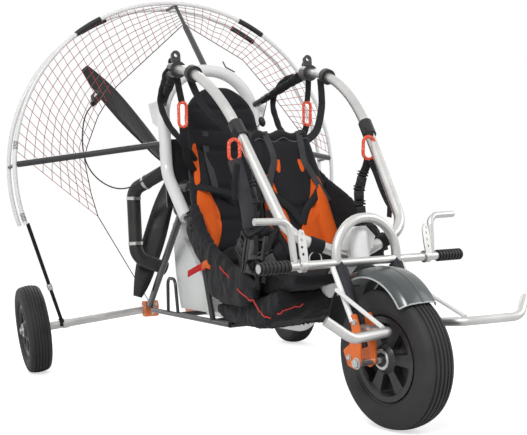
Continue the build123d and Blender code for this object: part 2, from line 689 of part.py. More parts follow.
REAR_BASE_SIDE = ((1345, 560), (1345, 505), (1010, 435), (950, 440), (950, 493.3))
REAR_FOOT_AHEAD = LOOP_AHEAD + 290
REAR_FOOT = (REAR_FOOT_AHEAD, on_line(REAR_FOOT_AHEAD, REAR_BASE_SIDE[4], REAR_BASE_SIDE[0]) + SEAT_GAP)
REAR_TOP = (LOOP_AHEAD + 62, 1172)
REAR_HALF = 148
REAR_FOOT_HALF = 128
BACK_T = 56
rear_length = (at(0, *REAR_TOP) - at(0, *REAR_FOOT)).length
rear_shoulder = rear_length - REAR_HALF
rear_edges = [
    Line((-REAR_FOOT_HALF, 0), (REAR_FOOT_HALF, 0)),
    Line((REAR_FOOT_HALF, 0), (REAR_HALF, 220)),
    Line((REAR_HALF, 220), (REAR_HALF, rear_shoulder)),
    ThreePointArc((REAR_HALF, rear_shoulder), (0, rear_length), (-REAR_HALF, rear_shoulder)),
    Line((-REAR_HALF, rear_shoulder), (-REAR_HALF, 220)),
    Line((-REAR_HALF, 220), (-REAR_FOOT_HALF, 0)),
]
nodes["rear_seat_back"] = seat_back(at(0, *REAR_FOOT), at(0, *REAR_TOP), BACK_T, rear_edges, 14)
nodes["rear_seat_base"] = seat_block(REAR_BASE_SIDE, 152, 12)

BASE_TOP = ((1760, 440), (1560, 452), (1330, 430))
FRONT_FOOT = (1470, on_line(1470, *BASE_TOP[1:]) + SEAT_GAP)
FRONT_TOP = (1320, 915)
FRONT_FOOT_HALF = 150
FRONT_TOP_HALF = 108
FRONT_CORNER = 24
WAVE = 8
WAVE_X = 29
front_length = (at(0, *FRONT_TOP) - at(0, *FRONT_FOOT)).length
crest = front_length - WAVE
CREST_X = (3 * WAVE_X, 2.4 * WAVE_X, 1.4 * WAVE_X)
CREST_UP = (0, WAVE, WAVE)
right_wave = [(x, crest + rise) for x, rise in zip(CREST_X, CREST_UP)]
left_wave = [(-x, z) for x, z in reversed(right_wave)]
corner_z = crest - FRONT_CORNER
right_edge = [(FRONT_FOOT_HALF, 0), (FRONT_TOP_HALF, corner_z)]
left_edge = [(-FRONT_TOP_HALF, corner_z), (-FRONT_FOOT_HALF, 0)]
front_edges = [Polyline(*right_edge, *right_wave, (0, crest - WAVE), *left_wave, *left_edge, close=True)]
nodes["front_seat_back"] = seat_back(at(0, *FRONT_FOOT), at(0, *FRONT_TOP), BACK_T, front_edges, 6)

keel_room = bent_tube(keel_path, [KEEL_ELBOW_R], KEEL_D + 2 * SEAT_GAP)
BASE_HALF = 178
BAG_HALF = 198
BASE_UNDER = ((1742, 405), (1240, 330))
base_side = [BASE_TOP[0], *BASE_UNDER, (1205, 352), *BASE_TOP[:0:-1]]
nodes["front_seat_base"] = seat_block(base_side, BASE_HALF, 10) - keel_room
bag_top = [(station, z - SEAT_GAP) for station, z in ((1662, 393), (1240, 330))]
BAG_UNDER = ((1150, 334), (1128, 312), (1190, 276), (1300, 266), (1490, 266), (1600, 296), (1668, 356))
bag_side = [*bag_top, *BAG_UNDER]
bag = seat_block(bag_side, BAG_HALF, 8) - keel_room - nodes["lower_frame"]
nodes["seat_bag"] = largest(bag)

WING_T = 12
front_normal = (at(0, *FRONT_TOP) - at(0, *FRONT_FOOT)).cross(Vector(-1, 0, 0)).normalized()
front_foot_mid = at(0, *FRONT_FOOT) + front_normal * BACK_T / 2
front_top_mid = at(0, *FRONT_TOP) + front_normal * BACK_T / 2
wings = []
for side in (-1, 1):
    foot_corner = front_foot_mid + Vector(side * FRONT_FOOT_HALF, 0, 0)
    top_corner = front_top_mid + Vector(side * FRONT_TOP_HALF, 0, 0)
    root = between(foot_corner, top_corner, 0.06)
    shoulder = between(foot_corner, top_corner, 0.72)
    knee = root + Vector(side * 42, -95, 70)
    elbow = between(knee, shoulder, 0.42) + (knee - root) * 0.35
    wings.append(panel([root, knee, elbow, shoulder], WING_T))
wings = [wing - nodes["front_seat_back"] - nodes["front_seat_base"] for wing in wings]
nodes["seat_wings"] = several([largest(wing) for wing in wings])

# Webbing from the arches down to the seats, with a link in each of the four risers

STRAP_W = 28
STRAP_T = 3
LINK_W = 34
LINK_H = 62
LINK_BAR = 7
STRAP_TABLE = (
    # place along the arch, drop below it, link height or none, out, ahead, height of the foot
    (HANG_ALONG, 34, 96, 154, 1080, 480),
    (226, 27, None, 98, 1345, 885),
    (622, 26, 62, 172, 1530, 664),
)
straps, links = [], []
for side in (-1, 1):
    for along, drop, link_drop, out, station, foot_z in STRAP_TABLE:
        top = arch_line(side).position_at(along, position_mode=PositionMode.LENGTH) + Vector(0, 0, -drop)
        foot = at(side * out, station, foot_z)
        way = (foot - top).normalized()
        if link_drop:
            link_top = top + way * link_drop
            link_foot = link_top + way * LINK_H
            straps.append(flat_bar(top, link_top - way * SEAT_GAP, STRAP_W, STRAP_T, (1, 0, 0)))
            straps.append(flat_bar(link_foot + way * SEAT_GAP, foot, STRAP_W, STRAP_T, (1, 0, 0)))
            breadth = way.cross(Vector(1, 0, 0))
            link_plane = Plane(link_top + way * LINK_H / 2, x_dir=breadth, z_dir=breadth.cross(way))
            oval = SlotOverall(LINK_H, LINK_W) - SlotOverall(LINK_H - 2 * LINK_BAR, LINK_W - 2 * LINK_BAR)
            links.append(extrude(link_plane * Rot(0, 0, 90) * oval, LINK_BAR / 2, both=True))
        else:
            straps.append(flat_bar(top, foot, STRAP_W, STRAP_T, (1, 0, 0)))
soft = [nodes[name] for name in ("front_seat_back", "rear_seat_back", "rear_seat_base", "seat_wings")]
hard_names = ("arch_clamps", "hang_blocks", "arch_collars", "spreader_bars", "arch_left", "arch_right")
hard = [nodes[name] for name in hard_names]
trimmed = []
for strap in straps:
    for piece in soft + hard:
        strap = largest(strap - piece)
    trimmed.append(strap)
nodes["harness_straps"] = several(trimmed)
nodes["riser_links"] = several(links)

# Stays of webbing from the open ends of the cage down to the axle tubes, each with its buckle

STAY_W = 20
STAY_T = 4
BUCKLE_L = 40
stays = []
ring_foot_angle = radians(CAGE_OPEN_BELOW)
for side in (-1, 1):
    ring_foot_z = CAGE_Z + CAGE_R * sin(ring_foot_angle)
    ring_foot = at(side * CAGE_R * cos(ring_foot_angle), CAGE_AHEAD - 12, ring_foot_z)
    axle_top = axle_point(side, 537) + Vector(0, 0, AXLE_TUBE_D / 2)
    way = (axle_top - ring_foot).normalized()
    span = (axle_top - ring_foot).length
    buckle_top = ring_foot + way * (span * 0.62)
    stay = flat_bar(ring_foot, axle_top, STAY_W, STAY_T, (0, 1, 0))
    buckle = flat_bar(buckle_top, buckle_top + way * BUCKLE_L, STAY_W + 8, STAY_T + 6, (0, 1, 0))
    stay = stay + buckle - nodes["cage_ring_front"] - nodes["rear_axle_left"] - nodes["rear_axle_right"]
    stays.append(largest(stay))
nodes["stay_straps"] = several(stays)

# Fork and all that turns with it, drawn straight ahead and then turned to how it stands

BAR_AHEAD = WHEELBASE - 95
BAR_Z = 473
BAR_D = 25
BAR_HALF = 376
PEG_D = 31
PEG_L = 100
PEG_RIBS = 8
PEG_RIB_D = 36
STRUT_X = 104
SLEEVE_D = 42
SLEEVE_L = 140
STRUT_D = 26
PLATE_X = (78, 130)
PLATE_T = 5
PEDAL_D = 20
PEDAL_INSET = 21
PEDAL_REACH = 107
PEDAL_TOP_Z = 598
LEVER_OFF = 13
LEVER_T = 4
LEVER_HOLE_D = 9
LEVER_OUTLINE = ((-10, -6), (-15, 30), (-13, 84), (-3, 100), (9, 96), (13, 60), (12, 20), (10, -6))
LEVER_HOLES = ((-2, 30), (-3, 50), (-2, 70), (1, 87))
CROWN_T = 12
RACE_GAP = 1

fork = {}
crown_foot = head_foot + steer_dir * (BAR_Z - STEER_Z)
steerer = rod(crown_foot, head_foot + steer_dir * (HEAD_TOP - 8), STEERER_D)
race = rod(crown_foot, head_foot + steer_dir * (HEAD_BOTTOM - RACE_GAP), HEAD_D)
cross_bar = rod(at(-BAR_HALF, BAR_AHEAD, BAR_Z), at(BAR_HALF, BAR_AHEAD, BAR_Z), BAR_D)
crown_reach = BAR_AHEAD - STEER_AHEAD
crown = Pos(0, ahead(STEER_AHEAD + crown_reach / 2), BAR_Z) * Box(2 * STRUT_X + 40, crown_reach, CROWN_T)
fork["fork_crown"] = join([steerer, race, crown]) - cross_bar
fork["cross_bar"] = cross_bar

HOOP_D = 28
HOOP_HALF = 112
HOOP_TOP_Z = 600
hoop_points = [
    at(-HOOP_HALF, BAR_AHEAD, BAR_Z),
    at(-HOOP_HALF, BAR_AHEAD, HOOP_TOP_Z),
    at(HOOP_HALF, BAR_AHEAD, HOOP_TOP_Z),
    at(HOOP_HALF, BAR_AHEAD, BAR_Z),
]
HOOP_BEND_R = HOOP_HALF - 4
fork["foot_hoop"] = bent_tube(hoop_points, [HOOP_BEND_R, HOOP_BEND_R], HOOP_D) - cross_bar - crown

axle_reach = PLATE_X[1] + 12
axle = rod(at(-axle_reach, WHEELBASE, TYRE_R), at(axle_reach, WHEELBASE, TYRE_R), HUB_BORE_D)
axle_room = rod(at(-200, WHEELBASE, TYRE_R), at(200, WHEELBASE, TYRE_R), HUB_BORE_D + 2 * SEAT_GAP)
fork["front_axle"] = axle

PLATE_OUTLINE = (
    # ahead of the front axle, height: elbow plate from the strut down to the axle
    (-24, 330),
    (4, 336),
    (16, 300),
    (18, 250),
    (14, 196),
    (-10, 182),
    (-42, 190),
    (-60, 232),
    (-30, 250),
    (-16, 290),
)
BAR_ROOT = (104, -6, 292)
BAR_ROUTE = (
    # out, ahead of the front axle, height
    (104, 40, 292),
    (134, 146, 296),
    (300, 198, 298),
    (358, 170, 347),
)
LEG_X = 128
legs, struts, plates, foot_bars, braces, pegs, pedals, levers = [], [], [], [], [], [], [], []
plate_face = make_face(Polyline(*[(-far, z) for far, z in PLATE_OUTLINE], close=True))
for side in (-1, 1):
    strut_top = at(side * STRUT_X, BAR_AHEAD, BAR_Z)
    strut_foot = at(side * STRUT_X, WHEELBASE - 4, TYRE_R + 40)
    down = (strut_foot - strut_top).normalized()
    strut = rod(strut_top, strut_foot, STRUT_D)
    sleeve = rod(strut_top + down * (BAR_D / 2 + 2), strut_top + down * SLEEVE_L, SLEEVE_D)
    struts.append(sleeve + strut - cross_bar - crown - fork["foot_hoop"])
    for out in PLATE_X:
        plane = Plane((side * out, ahead(WHEELBASE), 0), x_dir=(0, 1, 0), z_dir=(1, 0, 0))
        plate = extrude(plane * plate_face, PLATE_T / 2, both=True)
        plates.append(fillet(plate.edges().filter_by(Axis.X), 7) - axle_room)
    legs.append(rod(at(side * LEG_X, BAR_AHEAD, BAR_Z - 6), at(side * LEG_X, WHEELBASE - 16, 312), 16))
    bar_path = [at(side * out, WHEELBASE + far, z) for out, far, z in (BAR_ROOT, *BAR_ROUTE)]
    foot_bars.append(bent_tube(bar_path[1:], [60, 45], BAR_D) + rod(bar_path[0], bar_path[1], BAR_D))
    brace_foot = at(side * 150, WHEELBASE + 136, 308)
    braces.append(rod(at(side * (LEG_X + 12), BAR_AHEAD + 28, 400), brace_foot, 12))
    bar_end = at(side * (BAR_HALF - PEG_L), BAR_AHEAD, BAR_Z)
    peg = rod(bar_end, at(side * BAR_HALF, BAR_AHEAD, BAR_Z), PEG_D)
    for step in range(PEG_RIBS):
        rib_x = BAR_HALF - PEG_L + (step + 0.5) * PEG_L / PEG_RIBS
        rib_start = at(side * (rib_x - 3), BAR_AHEAD, BAR_Z)
        peg += rod(rib_start, at(side * (rib_x + 3), BAR_AHEAD, BAR_Z), PEG_RIB_D)
    pegs.append(peg - cross_bar)
    pedal_x = BAR_HALF - PEG_L - PEDAL_INSET
    pedal_path = [
        at(side * pedal_x, BAR_AHEAD, BAR_Z),
        at(side * (pedal_x + 9), BAR_AHEAD - 7, PEDAL_TOP_Z),
        at(side * (pedal_x + 9 + PEDAL_REACH), BAR_AHEAD - 17, PEDAL_TOP_Z + 2),
    ]
    pedals.append(bent_tube(pedal_path, [32], PEDAL_D) - cross_bar)
    lever_x = pedal_x - PEDAL_D / 2 - LEVER_OFF
    clamp_end = at(side * (lever_x + 9), BAR_AHEAD, BAR_Z)
    clamp_ring = rod(at(side * (lever_x - 9), BAR_AHEAD, BAR_Z), clamp_end, BAR_D + 12)
    lever_root = at(side * lever_x, BAR_AHEAD - BAR_D / 2 - 3, BAR_Z)
    lever_plane = Plane(lever_root, x_dir=(1, 0, 0), z_dir=(0, 1, 0))
    lever_plate = make_face(Polyline(*LEVER_OUTLINE, close=True))
    for hole_x, hole_y in LEVER_HOLES:
        lever_plate -= Pos(hole_x, hole_y) * Circle(LEVER_HOLE_D / 2)
    lever = extrude(lever_plane * lever_plate, LEVER_T / 2, both=True)
    levers.append(largest(clamp_ring + lever - cross_bar))
all_plates = join(plates)
fork["link_plates"] = several([plate - join(struts) for plate in plates])
fork["fork_struts"] = several(struts)
fork["fork_legs"] = several([leg - cross_bar - all_plates - join(struts) - fork["foot_hoop"] for leg in legs])
fork["foot_bars"] = several([largest(bar - all_plates - join(struts) - join(legs)) for bar in foot_bars])
fork["foot_bar_braces"] = several([largest(brace - join(legs) - join(foot_bars)) for brace in braces])
fork["foot_pegs"] = several(pegs)
fork["pedals"] = several(pedals)
fork["foot_levers"] = several([largest(lever - join(pedals)) for lever in levers])

GUARD_BEHIND = 36
GUARD_UP = 64
GUARD_R = 194
GUARD_W = 134
GUARD_T = 4
GUARD_CROWN = 10
GUARD_FROM = 30
GUARD_ARC = 107
FLAP_ARC = 42
GUARD_EDGE_R = GUARD_R - GUARD_CROWN
edge_outer = Vector(GUARD_EDGE_R, GUARD_W / 2)
edge_inner = Vector(GUARD_EDGE_R - GUARD_T, GUARD_W / 2)
other_outer = Vector(GUARD_EDGE_R, -GUARD_W / 2)
other_inner = Vector(GUARD_EDGE_R - GUARD_T, -GUARD_W / 2)
guard_edges = [
    ThreePointArc(other_outer, (GUARD_R, 0), edge_outer),
    Line(edge_outer, edge_inner),
    ThreePointArc(edge_inner, (GUARD_R - GUARD_T, 0), other_inner),
    Line(other_inner, other_outer),
]
guard_section = make_face(Curve() + guard_edges)
flap_section = Pos(GUARD_R - GUARD_T / 2 - 2, 0) * Rectangle(GUARD_T, GUARD_W - 22)


def round_wheel(section, start, arc):
    """A section carried round the mudguard's centre, angles from the front up."""
    turned = Rot(0, 0, -start - arc) * revolve(Plane.XZ * section, Axis.Z, revolution_arc=arc)
    centre = at(0, WHEELBASE - GUARD_BEHIND, TYRE_R + GUARD_UP)
    return Pos(centre) * Rot(0, 90, 0) * Rot(0, 0, -90) * turned


guard = round_wheel(guard_section, GUARD_FROM, GUARD_ARC)
stay = rod(at(0, BAR_AHEAD, 430), at(0, BAR_AHEAD, BAR_Z), 16)
under_guard = Pos(GUARD_R / 2, 0) * Rectangle(GUARD_R - 2 * GUARD_T, GUARD_W)
stay = largest(stay - cross_bar - round_wheel(under_guard, 0, 180))
fork["mudguard"] = guard + stay
fork["mudguard_flap"] = round_wheel(flap_section, GUARD_FROM + GUARD_ARC - 2, FLAP_ARC) - guard

for name, shape in fork.items():
    nodes[name] = shape.rotate(STEER_AXIS, STEER_REST)
for name, shape in (("front_tyre", tyre()), ("front_rim", rim())):
    nodes[name] = (Pos(at(0, WHEELBASE, TYRE_R)) * shape).rotate(STEER_AXIS, STEER_REST)

for name, shape in nodes.items():
    export_step(shape, f"parts/{name}.step")

box = Compound(children=[shape for shape in nodes.values()]).bounding_box()
print("nodes", len(nodes), "box", box.min, box.max)
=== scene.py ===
"""Looks of a two-seat paramotor trike: finishes, netting, seats and small parts round its frame.

Metres, +Z up, nose towards -Y, +X to the vehicle's left. Places along the vehicle are given as
metres ahead of the rear axle, as in the part's source.
"""
import json
import math

import bmesh
import bpy
from mathutils import Matrix, Vector


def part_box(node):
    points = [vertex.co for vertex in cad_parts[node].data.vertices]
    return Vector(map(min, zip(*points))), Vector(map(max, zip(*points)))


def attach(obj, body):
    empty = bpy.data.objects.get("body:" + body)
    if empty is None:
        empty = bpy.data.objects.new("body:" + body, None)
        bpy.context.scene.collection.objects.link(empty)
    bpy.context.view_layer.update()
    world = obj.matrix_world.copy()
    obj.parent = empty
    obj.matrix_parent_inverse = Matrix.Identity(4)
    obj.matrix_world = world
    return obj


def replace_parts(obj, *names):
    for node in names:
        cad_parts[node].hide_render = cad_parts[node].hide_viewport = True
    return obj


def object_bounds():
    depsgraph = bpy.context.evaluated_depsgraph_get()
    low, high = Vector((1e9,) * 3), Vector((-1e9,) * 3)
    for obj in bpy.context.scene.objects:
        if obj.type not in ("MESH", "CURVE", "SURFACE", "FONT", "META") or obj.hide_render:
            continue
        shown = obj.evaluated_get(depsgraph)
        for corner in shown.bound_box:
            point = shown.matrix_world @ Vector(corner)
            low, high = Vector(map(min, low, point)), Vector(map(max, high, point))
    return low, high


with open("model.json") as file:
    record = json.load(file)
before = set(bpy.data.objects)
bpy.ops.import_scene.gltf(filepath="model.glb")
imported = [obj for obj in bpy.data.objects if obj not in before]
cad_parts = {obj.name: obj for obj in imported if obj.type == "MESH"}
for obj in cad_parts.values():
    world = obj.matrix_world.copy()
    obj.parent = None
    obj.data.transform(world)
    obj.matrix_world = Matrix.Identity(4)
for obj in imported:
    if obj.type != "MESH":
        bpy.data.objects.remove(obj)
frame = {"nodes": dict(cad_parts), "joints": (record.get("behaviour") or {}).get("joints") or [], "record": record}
cad_box = [list(corner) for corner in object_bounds()]
nodes = frame["nodes"]
joints = {joint["name"]: joint for joint in frame["joints"]}

# Camera, floor and light
# The camera stands low and ahead of the right side, and looks back along the vehicle.
# Its place was fitted to the wheels, rings and tubes of the photograph.

bpy.context.scene.view_settings.view_transform = "Standard"

AXLE_Y = joints["rear_wheel_left_spin"]["pos_m"][1]
CAMERA_AHEAD = 4.047
CAMERA_X = -1.290
CAMERA_Z = 0.569
CAMERA_TURN = math.radians(-24.17)
CAMERA_RISE = math.radians(1.11)
CAMERA_ROLL = math.radians(-3.46)
CAMERA_LENS = 58.64

camera_data = bpy.data.cameras.new("photo_camera")
camera_data.lens = CAMERA_LENS
camera_data.sensor_width = 36
camera = bpy.data.objects.new("photo_camera", camera_data)
bpy.context.scene.collection.objects.link(camera)
level = Vector((-math.sin(CAMERA_TURN), math.cos(CAMERA_TURN), 0))
sight = level * math.cos(CAMERA_RISE) + Vector((0, 0, math.sin(CAMERA_RISE)))
right = Vector((math.cos(CAMERA_TURN), math.sin(CAMERA_TURN), 0))
up = right.cross(sight)
rolled_right = right * math.cos(CAMERA_ROLL) + up * math.sin(CAMERA_ROLL)
rolled_up = up * math.cos(CAMERA_ROLL) - right * math.sin(CAMERA_ROLL)
facing = Matrix((rolled_right, rolled_up, -sight)).transposed().to_4x4()
camera.matrix_world = Matrix.Translation((CAMERA_X, AXLE_Y - CAMERA_AHEAD, CAMERA_Z)) @ facing
bpy.context.scene.camera = camera


class Wire:
    """A socket in shader maths: each operation on it adds one Math node to its material."""

    def __init__(self, nodes_of, socket):
        self.nodes_of = nodes_of
        self.socket = socket

    def maths(self, operation, *values):
        return self.nodes_of.add("Math", {"operation": operation}, dict(enumerate(values)))

    def __add__(self, other):
        return self.maths("ADD", self, other)

    __radd__ = __add__

    def __mul__(self, other):
        return self.maths("MULTIPLY", self, other)

    __rmul__ = __mul__

    def __gt__(self, other):
        return self.maths("GREATER_THAN", self, other)

    def __lt__(self, other):
        return self.maths("LESS_THAN", self, other)

    def sine(self):
        return self.maths("SINE", self)


class Finish:
    """One material. add() makes any node from its type, its settings and the values of its sockets."""

    def __init__(self, name, slot=None, roughness=0.5, metallic=0.0, coat=0.0, specular=0.5):
        self.slot = slot
        self.material = bpy.data.materials.new(name)
        self.material.use_nodes = True
        self.tree = self.material.node_tree
        self.surface = self.tree.nodes["Principled BSDF"]
        self.set("Roughness", roughness)
        self.set("Metallic", metallic)
        self.set("Coat Weight", coat)
        self.set("Specular IOR Level", specular)

    def add(self, kind, settings=None, sockets=None, output=0):
        node = self.tree.nodes.new("ShaderNode" + kind)
        for name, value in (settings or {}).items():
            setattr(node, name, value)
        for name, value in (sockets or {}).items():
            self.feed(node.inputs[name], value)
        return Wire(self, node.outputs[output])

    def feed(self, socket, value):
        if isinstance(value, Wire):
            self.tree.links.new(value.socket, socket)
        else:
            socket.default_value = value

    def set(self, name, value):
        self.feed(self.surface.inputs[name], value)

    def place(self):
        """The point on the piece, in metres."""
        return self.add("TexCoord", output=3)

    def strip(self):
        """The point along and across a strap, in metres, from its own UV map."""
        return self.add("TexCoord", output=2)

    def axis(self, vector, name):
        return self.add("SeparateXYZ", {}, {"Vector": vector}, output="XYZ".index(name))

    def noise(self, scale, detail=3.0):
        return self.add("TexNoise", {}, {"Vector": self.place(), "Scale": scale, "Detail": detail})

    def mix(self, factor, first, second):
        """Colour between two colours."""
        sockets = {0: factor, 6: (*first, 1), 7: (*second, 1)}
        return self.add("Mix", {"data_type": "RGBA"}, sockets, output=2)

    def mottle(self, dark, light, scale, detail=3.0, dull=None):
        """Colour between two tones over a soft noise; dull is the least roughness and its spread."""
        tone = self.noise(scale, detail)
        self.set("Base Color", self.mix(tone, dark, light))
        if dull:
            self.set("Roughness", dull[0] + tone * dull[1])
        return tone

    def bump(self, height, distance):
        self.set("Normal", self.add("Bump", {}, {"Height": height, "Distance": distance}))


FLOOR_GLOW = 0.62
floor_finish = Finish("pale_floor", roughness=0.9)
floor_finish.set("Base Color", (0.9, 0.9, 0.9, 1))
seen = floor_finish.add("LightPath", output=0)
glow = floor_finish.add("Emission", {}, {"Color": (1, 1, 1, 1), "Strength": FLOOR_GLOW})
plain = Wire(floor_finish, floor_finish.surface.outputs[0])
both = floor_finish.add("AddShader", {}, {0: plain, 1: glow})
shown = floor_finish.add("MixShader", {}, {0: seen, 1: plain, 2: both})
floor_finish.tree.links.new(shown.socket, floor_finish.tree.nodes["Material Output"].inputs["Surface"])

bpy.ops.object.select_all(action="DESELECT")
bpy.ops.mesh.primitive_plane_add(size=40, location=(0, 0, cad_box[0][2] - 0.001))
floor = bpy.context.object
floor.name = "floor"
floor.data.materials.append(floor_finish.material)

WORLD_LIGHT = 0.42
world = bpy.data.worlds.new("studio")
world.use_nodes = True
bpy.context.scene.world = world
world_nodes = world.node_tree
background = world_nodes.nodes["Background"]
background.inputs["Color"].default_value = (0.97, 0.98, 1.0, 1)
background.inputs["Strength"].default_value = WORLD_LIGHT
white = world_nodes.nodes.new("ShaderNodeBackground")
white.inputs["Color"].default_value = (1, 1, 1, 1)
white.inputs["Strength"].default_value = 1.0
path = world_nodes.nodes.new("ShaderNodeLightPath")
either = world_nodes.nodes.new("ShaderNodeMath")
either.operation = "MAXIMUM"
world_nodes.links.new(path.outputs["Is Camera Ray"], either.inputs[0])
world_nodes.links.new(path.outputs["Is Glossy Ray"], either.inputs[1])
choose = world_nodes.nodes.new("ShaderNodeMixShader")
world_nodes.links.new(either.outputs[0], choose.inputs[0])
world_nodes.links.new(background.outputs[0], choose.inputs[1])
world_nodes.links.new(white.outputs[0], choose.inputs[2])
world_nodes.links.new(choose.outputs[0], world_nodes.nodes["World Output"].inputs["Surface"])

LAMPS = (
    # name, place from the middle of the vehicle, width, watts
    ("key", (-2.6, -3.6, 3.6), 1.4, 135),
    ("fill", (3.4, -2.4, 2.4), 2.4, 34),
    ("back", (0.6, 3.6, 3.2), 2.4, 40),
)
TARGET = Vector((0, 0, 0.6))
for name, place, width, watts in LAMPS:
    lamp_data = bpy.data.lights.new(name, "AREA")
    lamp_data.size = width
    lamp_data.energy = watts
    lamp = bpy.data.objects.new(name, lamp_data)
    bpy.context.scene.collection.objects.link(lamp)
    lamp.location = place
    lamp.rotation_euler = (TARGET - Vector(place)).to_track_quat("-Z", "Y").to_euler()


def dress(names, finish):
    """Gives a finish to pieces of the frame that keep their own shape."""
    for name in names:
        slots = nodes[name].data.materials
        slots.clear()
        slots.append(finish.material)


def spot(out, ahead, height):
    """A place by its distance out to the left, ahead of the rear axle and above the floor."""
    return Vector((out, AXLE_Y - ahead, height))


# Throttle
# A hand grip hooked on the net's inner cord, and its stiff cable that hangs in a slack loop
# and goes in through a gland on the engine plate. The cable is black plastic, 6 mm thick.

THROTTLE_ROUTE = (
    # out, ahead, height
    (-0.402, 0.310, 1.187),
    (-0.434, 0.334, 1.154),
    (-0.459, 0.362, 1.106),
    (-0.474, 0.388, 1.046),
    (-0.482, 0.412, 0.980),
    (-0.477, 0.438, 0.914),
    (-0.453, 0.466, 0.858),
    (-0.411, 0.494, 0.814),
    (-0.358, 0.520, 0.792),
    (-0.304, 0.544, 0.802),
    (-0.257, 0.566, 0.832),
    (-0.214, 0.588, 0.864),
    (-0.178, 0.612, 0.890),
    (-0.158, 0.636, 0.903),
)
THROTTLE_D = 0.006

plastic = Finish("moulded_black", "black_plastic", specular=0.4)
plastic.mottle((0.010, 0.010, 0.011), (0.026, 0.026, 0.027), 22.0, 4.0, (0.34, 0.2))
plastic.bump(plastic.noise(1400.0, 1.0), 0.00004)
dress(("throttle_handle",), plastic)

cable_curve = bpy.data.curves.new("throttle_cord", "CURVE")
cable_curve.dimensions = "3D"
spline = cable_curve.splines.new("NURBS")
spline.points.add(len(THROTTLE_ROUTE) - 1)
for point, (out, ahead, height) in zip(spline.points, THROTTLE_ROUTE):
    point.co = (*spot(out, ahead, height), 1)
spline.order_u = 3
spline.use_endpoint_u = True
cable_curve.bevel_depth = THROTTLE_D / 2
cable_curve.bevel_resolution = 3
cable_curve.materials.append(plastic.material)
cable = bpy.data.objects.new("throttle_cord", cable_curve)
bpy.context.scene.collection.objects.link(cable)
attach(cable, "chassis")
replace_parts(cable, "throttle_cable")
tuple(spot(*THROTTLE_ROUTE[-1]))

# White tubes
# Keel, steering head, main loop, cage rings and fork legs: steel tube with a white powder coat,
# slightly pebbled, and a little greyer where hands and boots rub it.

white_coat = Finish("white_powder_coat", "white_paint", coat=0.25)
white_coat.mottle((0.78, 0.78, 0.77), (0.9, 0.9, 0.89), 7.0, 4.0, (0.26, 0.14))
white_coat.bump(white_coat.noise(900.0, 2.0), 0.00006)
dress(("keel_tube", "steering_head", "loop_frame", "cage_ring_front", "cage_ring_rear"), white_coat)
dress(("fork_legs", "foot_bar_braces"), white_coat)

# Bare tubes
# Arches, foot bars, hoop, pedals and rear axle tubes: drawn aluminium tube, left bright,
# with fine draw lines and dull handling marks.

bright_tube = Finish("drawn_aluminium", "bare_tube", metallic=0.85)
lines = bright_tube.noise(420.0, 1.0)
marks = bright_tube.mottle((0.5, 0.5, 0.49), (0.76, 0.75, 0.73), 14.0, 5.0)
bright_tube.set("Roughness", 0.24 + marks * 0.16 + lines * 0.06)
bright_tube.bump(lines, 0.00004)
dress(("arch_left", "arch_right", "rear_axle_left", "rear_axle_right"), bright_tube)
dress(("cross_bar", "foot_hoop", "foot_bars", "foot_levers", "pedals"), bright_tube)

# Black metal
# Lower frame, struts, cage arms, engine plate and fittings: steel and plate with a satin black coat.

black_coat = Finish("satin_black_coat", "black_metal", coat=0.3)
black_coat.mottle((0.012, 0.012, 0.014), (0.034, 0.034, 0.037), 18.0, 5.0, (0.2, 0.22))
black_coat.bump(black_coat.noise(700.0, 2.0), 0.00005)
dress(("lower_frame", "frame_struts", "cage_arms", "engine_plate"), black_coat)
dress(("hang_blocks", "spreader_bars", "fork_crown"), black_coat)
dress(("arch_clamps", "arch_collars", "ring_sleeves", "mudguard_flap"), plastic)

# Zinc plated steel
# Front axle and the band clamps on the exhaust.

zinc = Finish("zinc_plate", "steel", metallic=0.95)
zinc.mottle((0.5, 0.5, 0.49), (0.76, 0.76, 0.74), 40.0, 4.0, (0.2, 0.2))
dress(("front_axle", "exhaust_clamps"), zinc)

# Tyres
# Three low-pressure tyres of black rubber: flat sides with a raised bead ring, round shoulders
# and a crowned tread with five moulded grooves. Each is spun from one profile.

TYRE_R = 0.2
TYRE_CROWN_R = 0.12
GROOVES = (-0.0265, -0.0135, 0.0, 0.0135, 0.0265)
GROOVE_HALF = 0.0021
GROOVE_DEPTH = 0.005
TYRE_SIDE = (
    # out from the middle, radius: from the bead up to the edge of the tread
    (0.0290, 0.1203),
    (0.0352, 0.1222),
    (0.0392, 0.1262),
    (0.0412, 0.1300),
    (0.0436, 0.1306),
    (0.0452, 0.1344),
    (0.0474, 0.1400),
    (0.0484, 0.1408),
    (0.0490, 0.1450),
    (0.0497, 0.1560),
    (0.0499, 0.1670),
    (0.0490, 0.1770),
    (0.0462, 0.1858),
    (0.0425, 0.1904),
    (0.0392, 0.1930),
)
TYRE_STEPS = 112
TYRE_MERGE = 0.00005
TYRE_EDGES = 38

rubber = Finish("tyre_rubber", "tyre", specular=0.3)
streak = rubber.noise(260.0, 2.0)
dust = rubber.mottle((0.017, 0.016, 0.017), (0.052, 0.05, 0.049), 16.0, 5.0, (0.5, 0.24))
rubber.bump(streak + dust * 0.6, 0.00025)


def crown(out):
    """Radius of the tread at a distance out from its middle."""
    return TYRE_R - TYRE_CROWN_R + math.sqrt(TYRE_CROWN_R**2 - out**2)


tread = []
for middle in GROOVES:
    for step, sink in ((-1.7, 0), (-1, GROOVE_DEPTH), (1, GROOVE_DEPTH), (1.7, 0)):
        out = middle + step * GROOVE_HALF
        tread.append((out, crown(out) - sink))
right_side = [(-out, radius) for out, radius in TYRE_SIDE]
tyre_profile = right_side + tread + list(TYRE_SIDE[::-1])


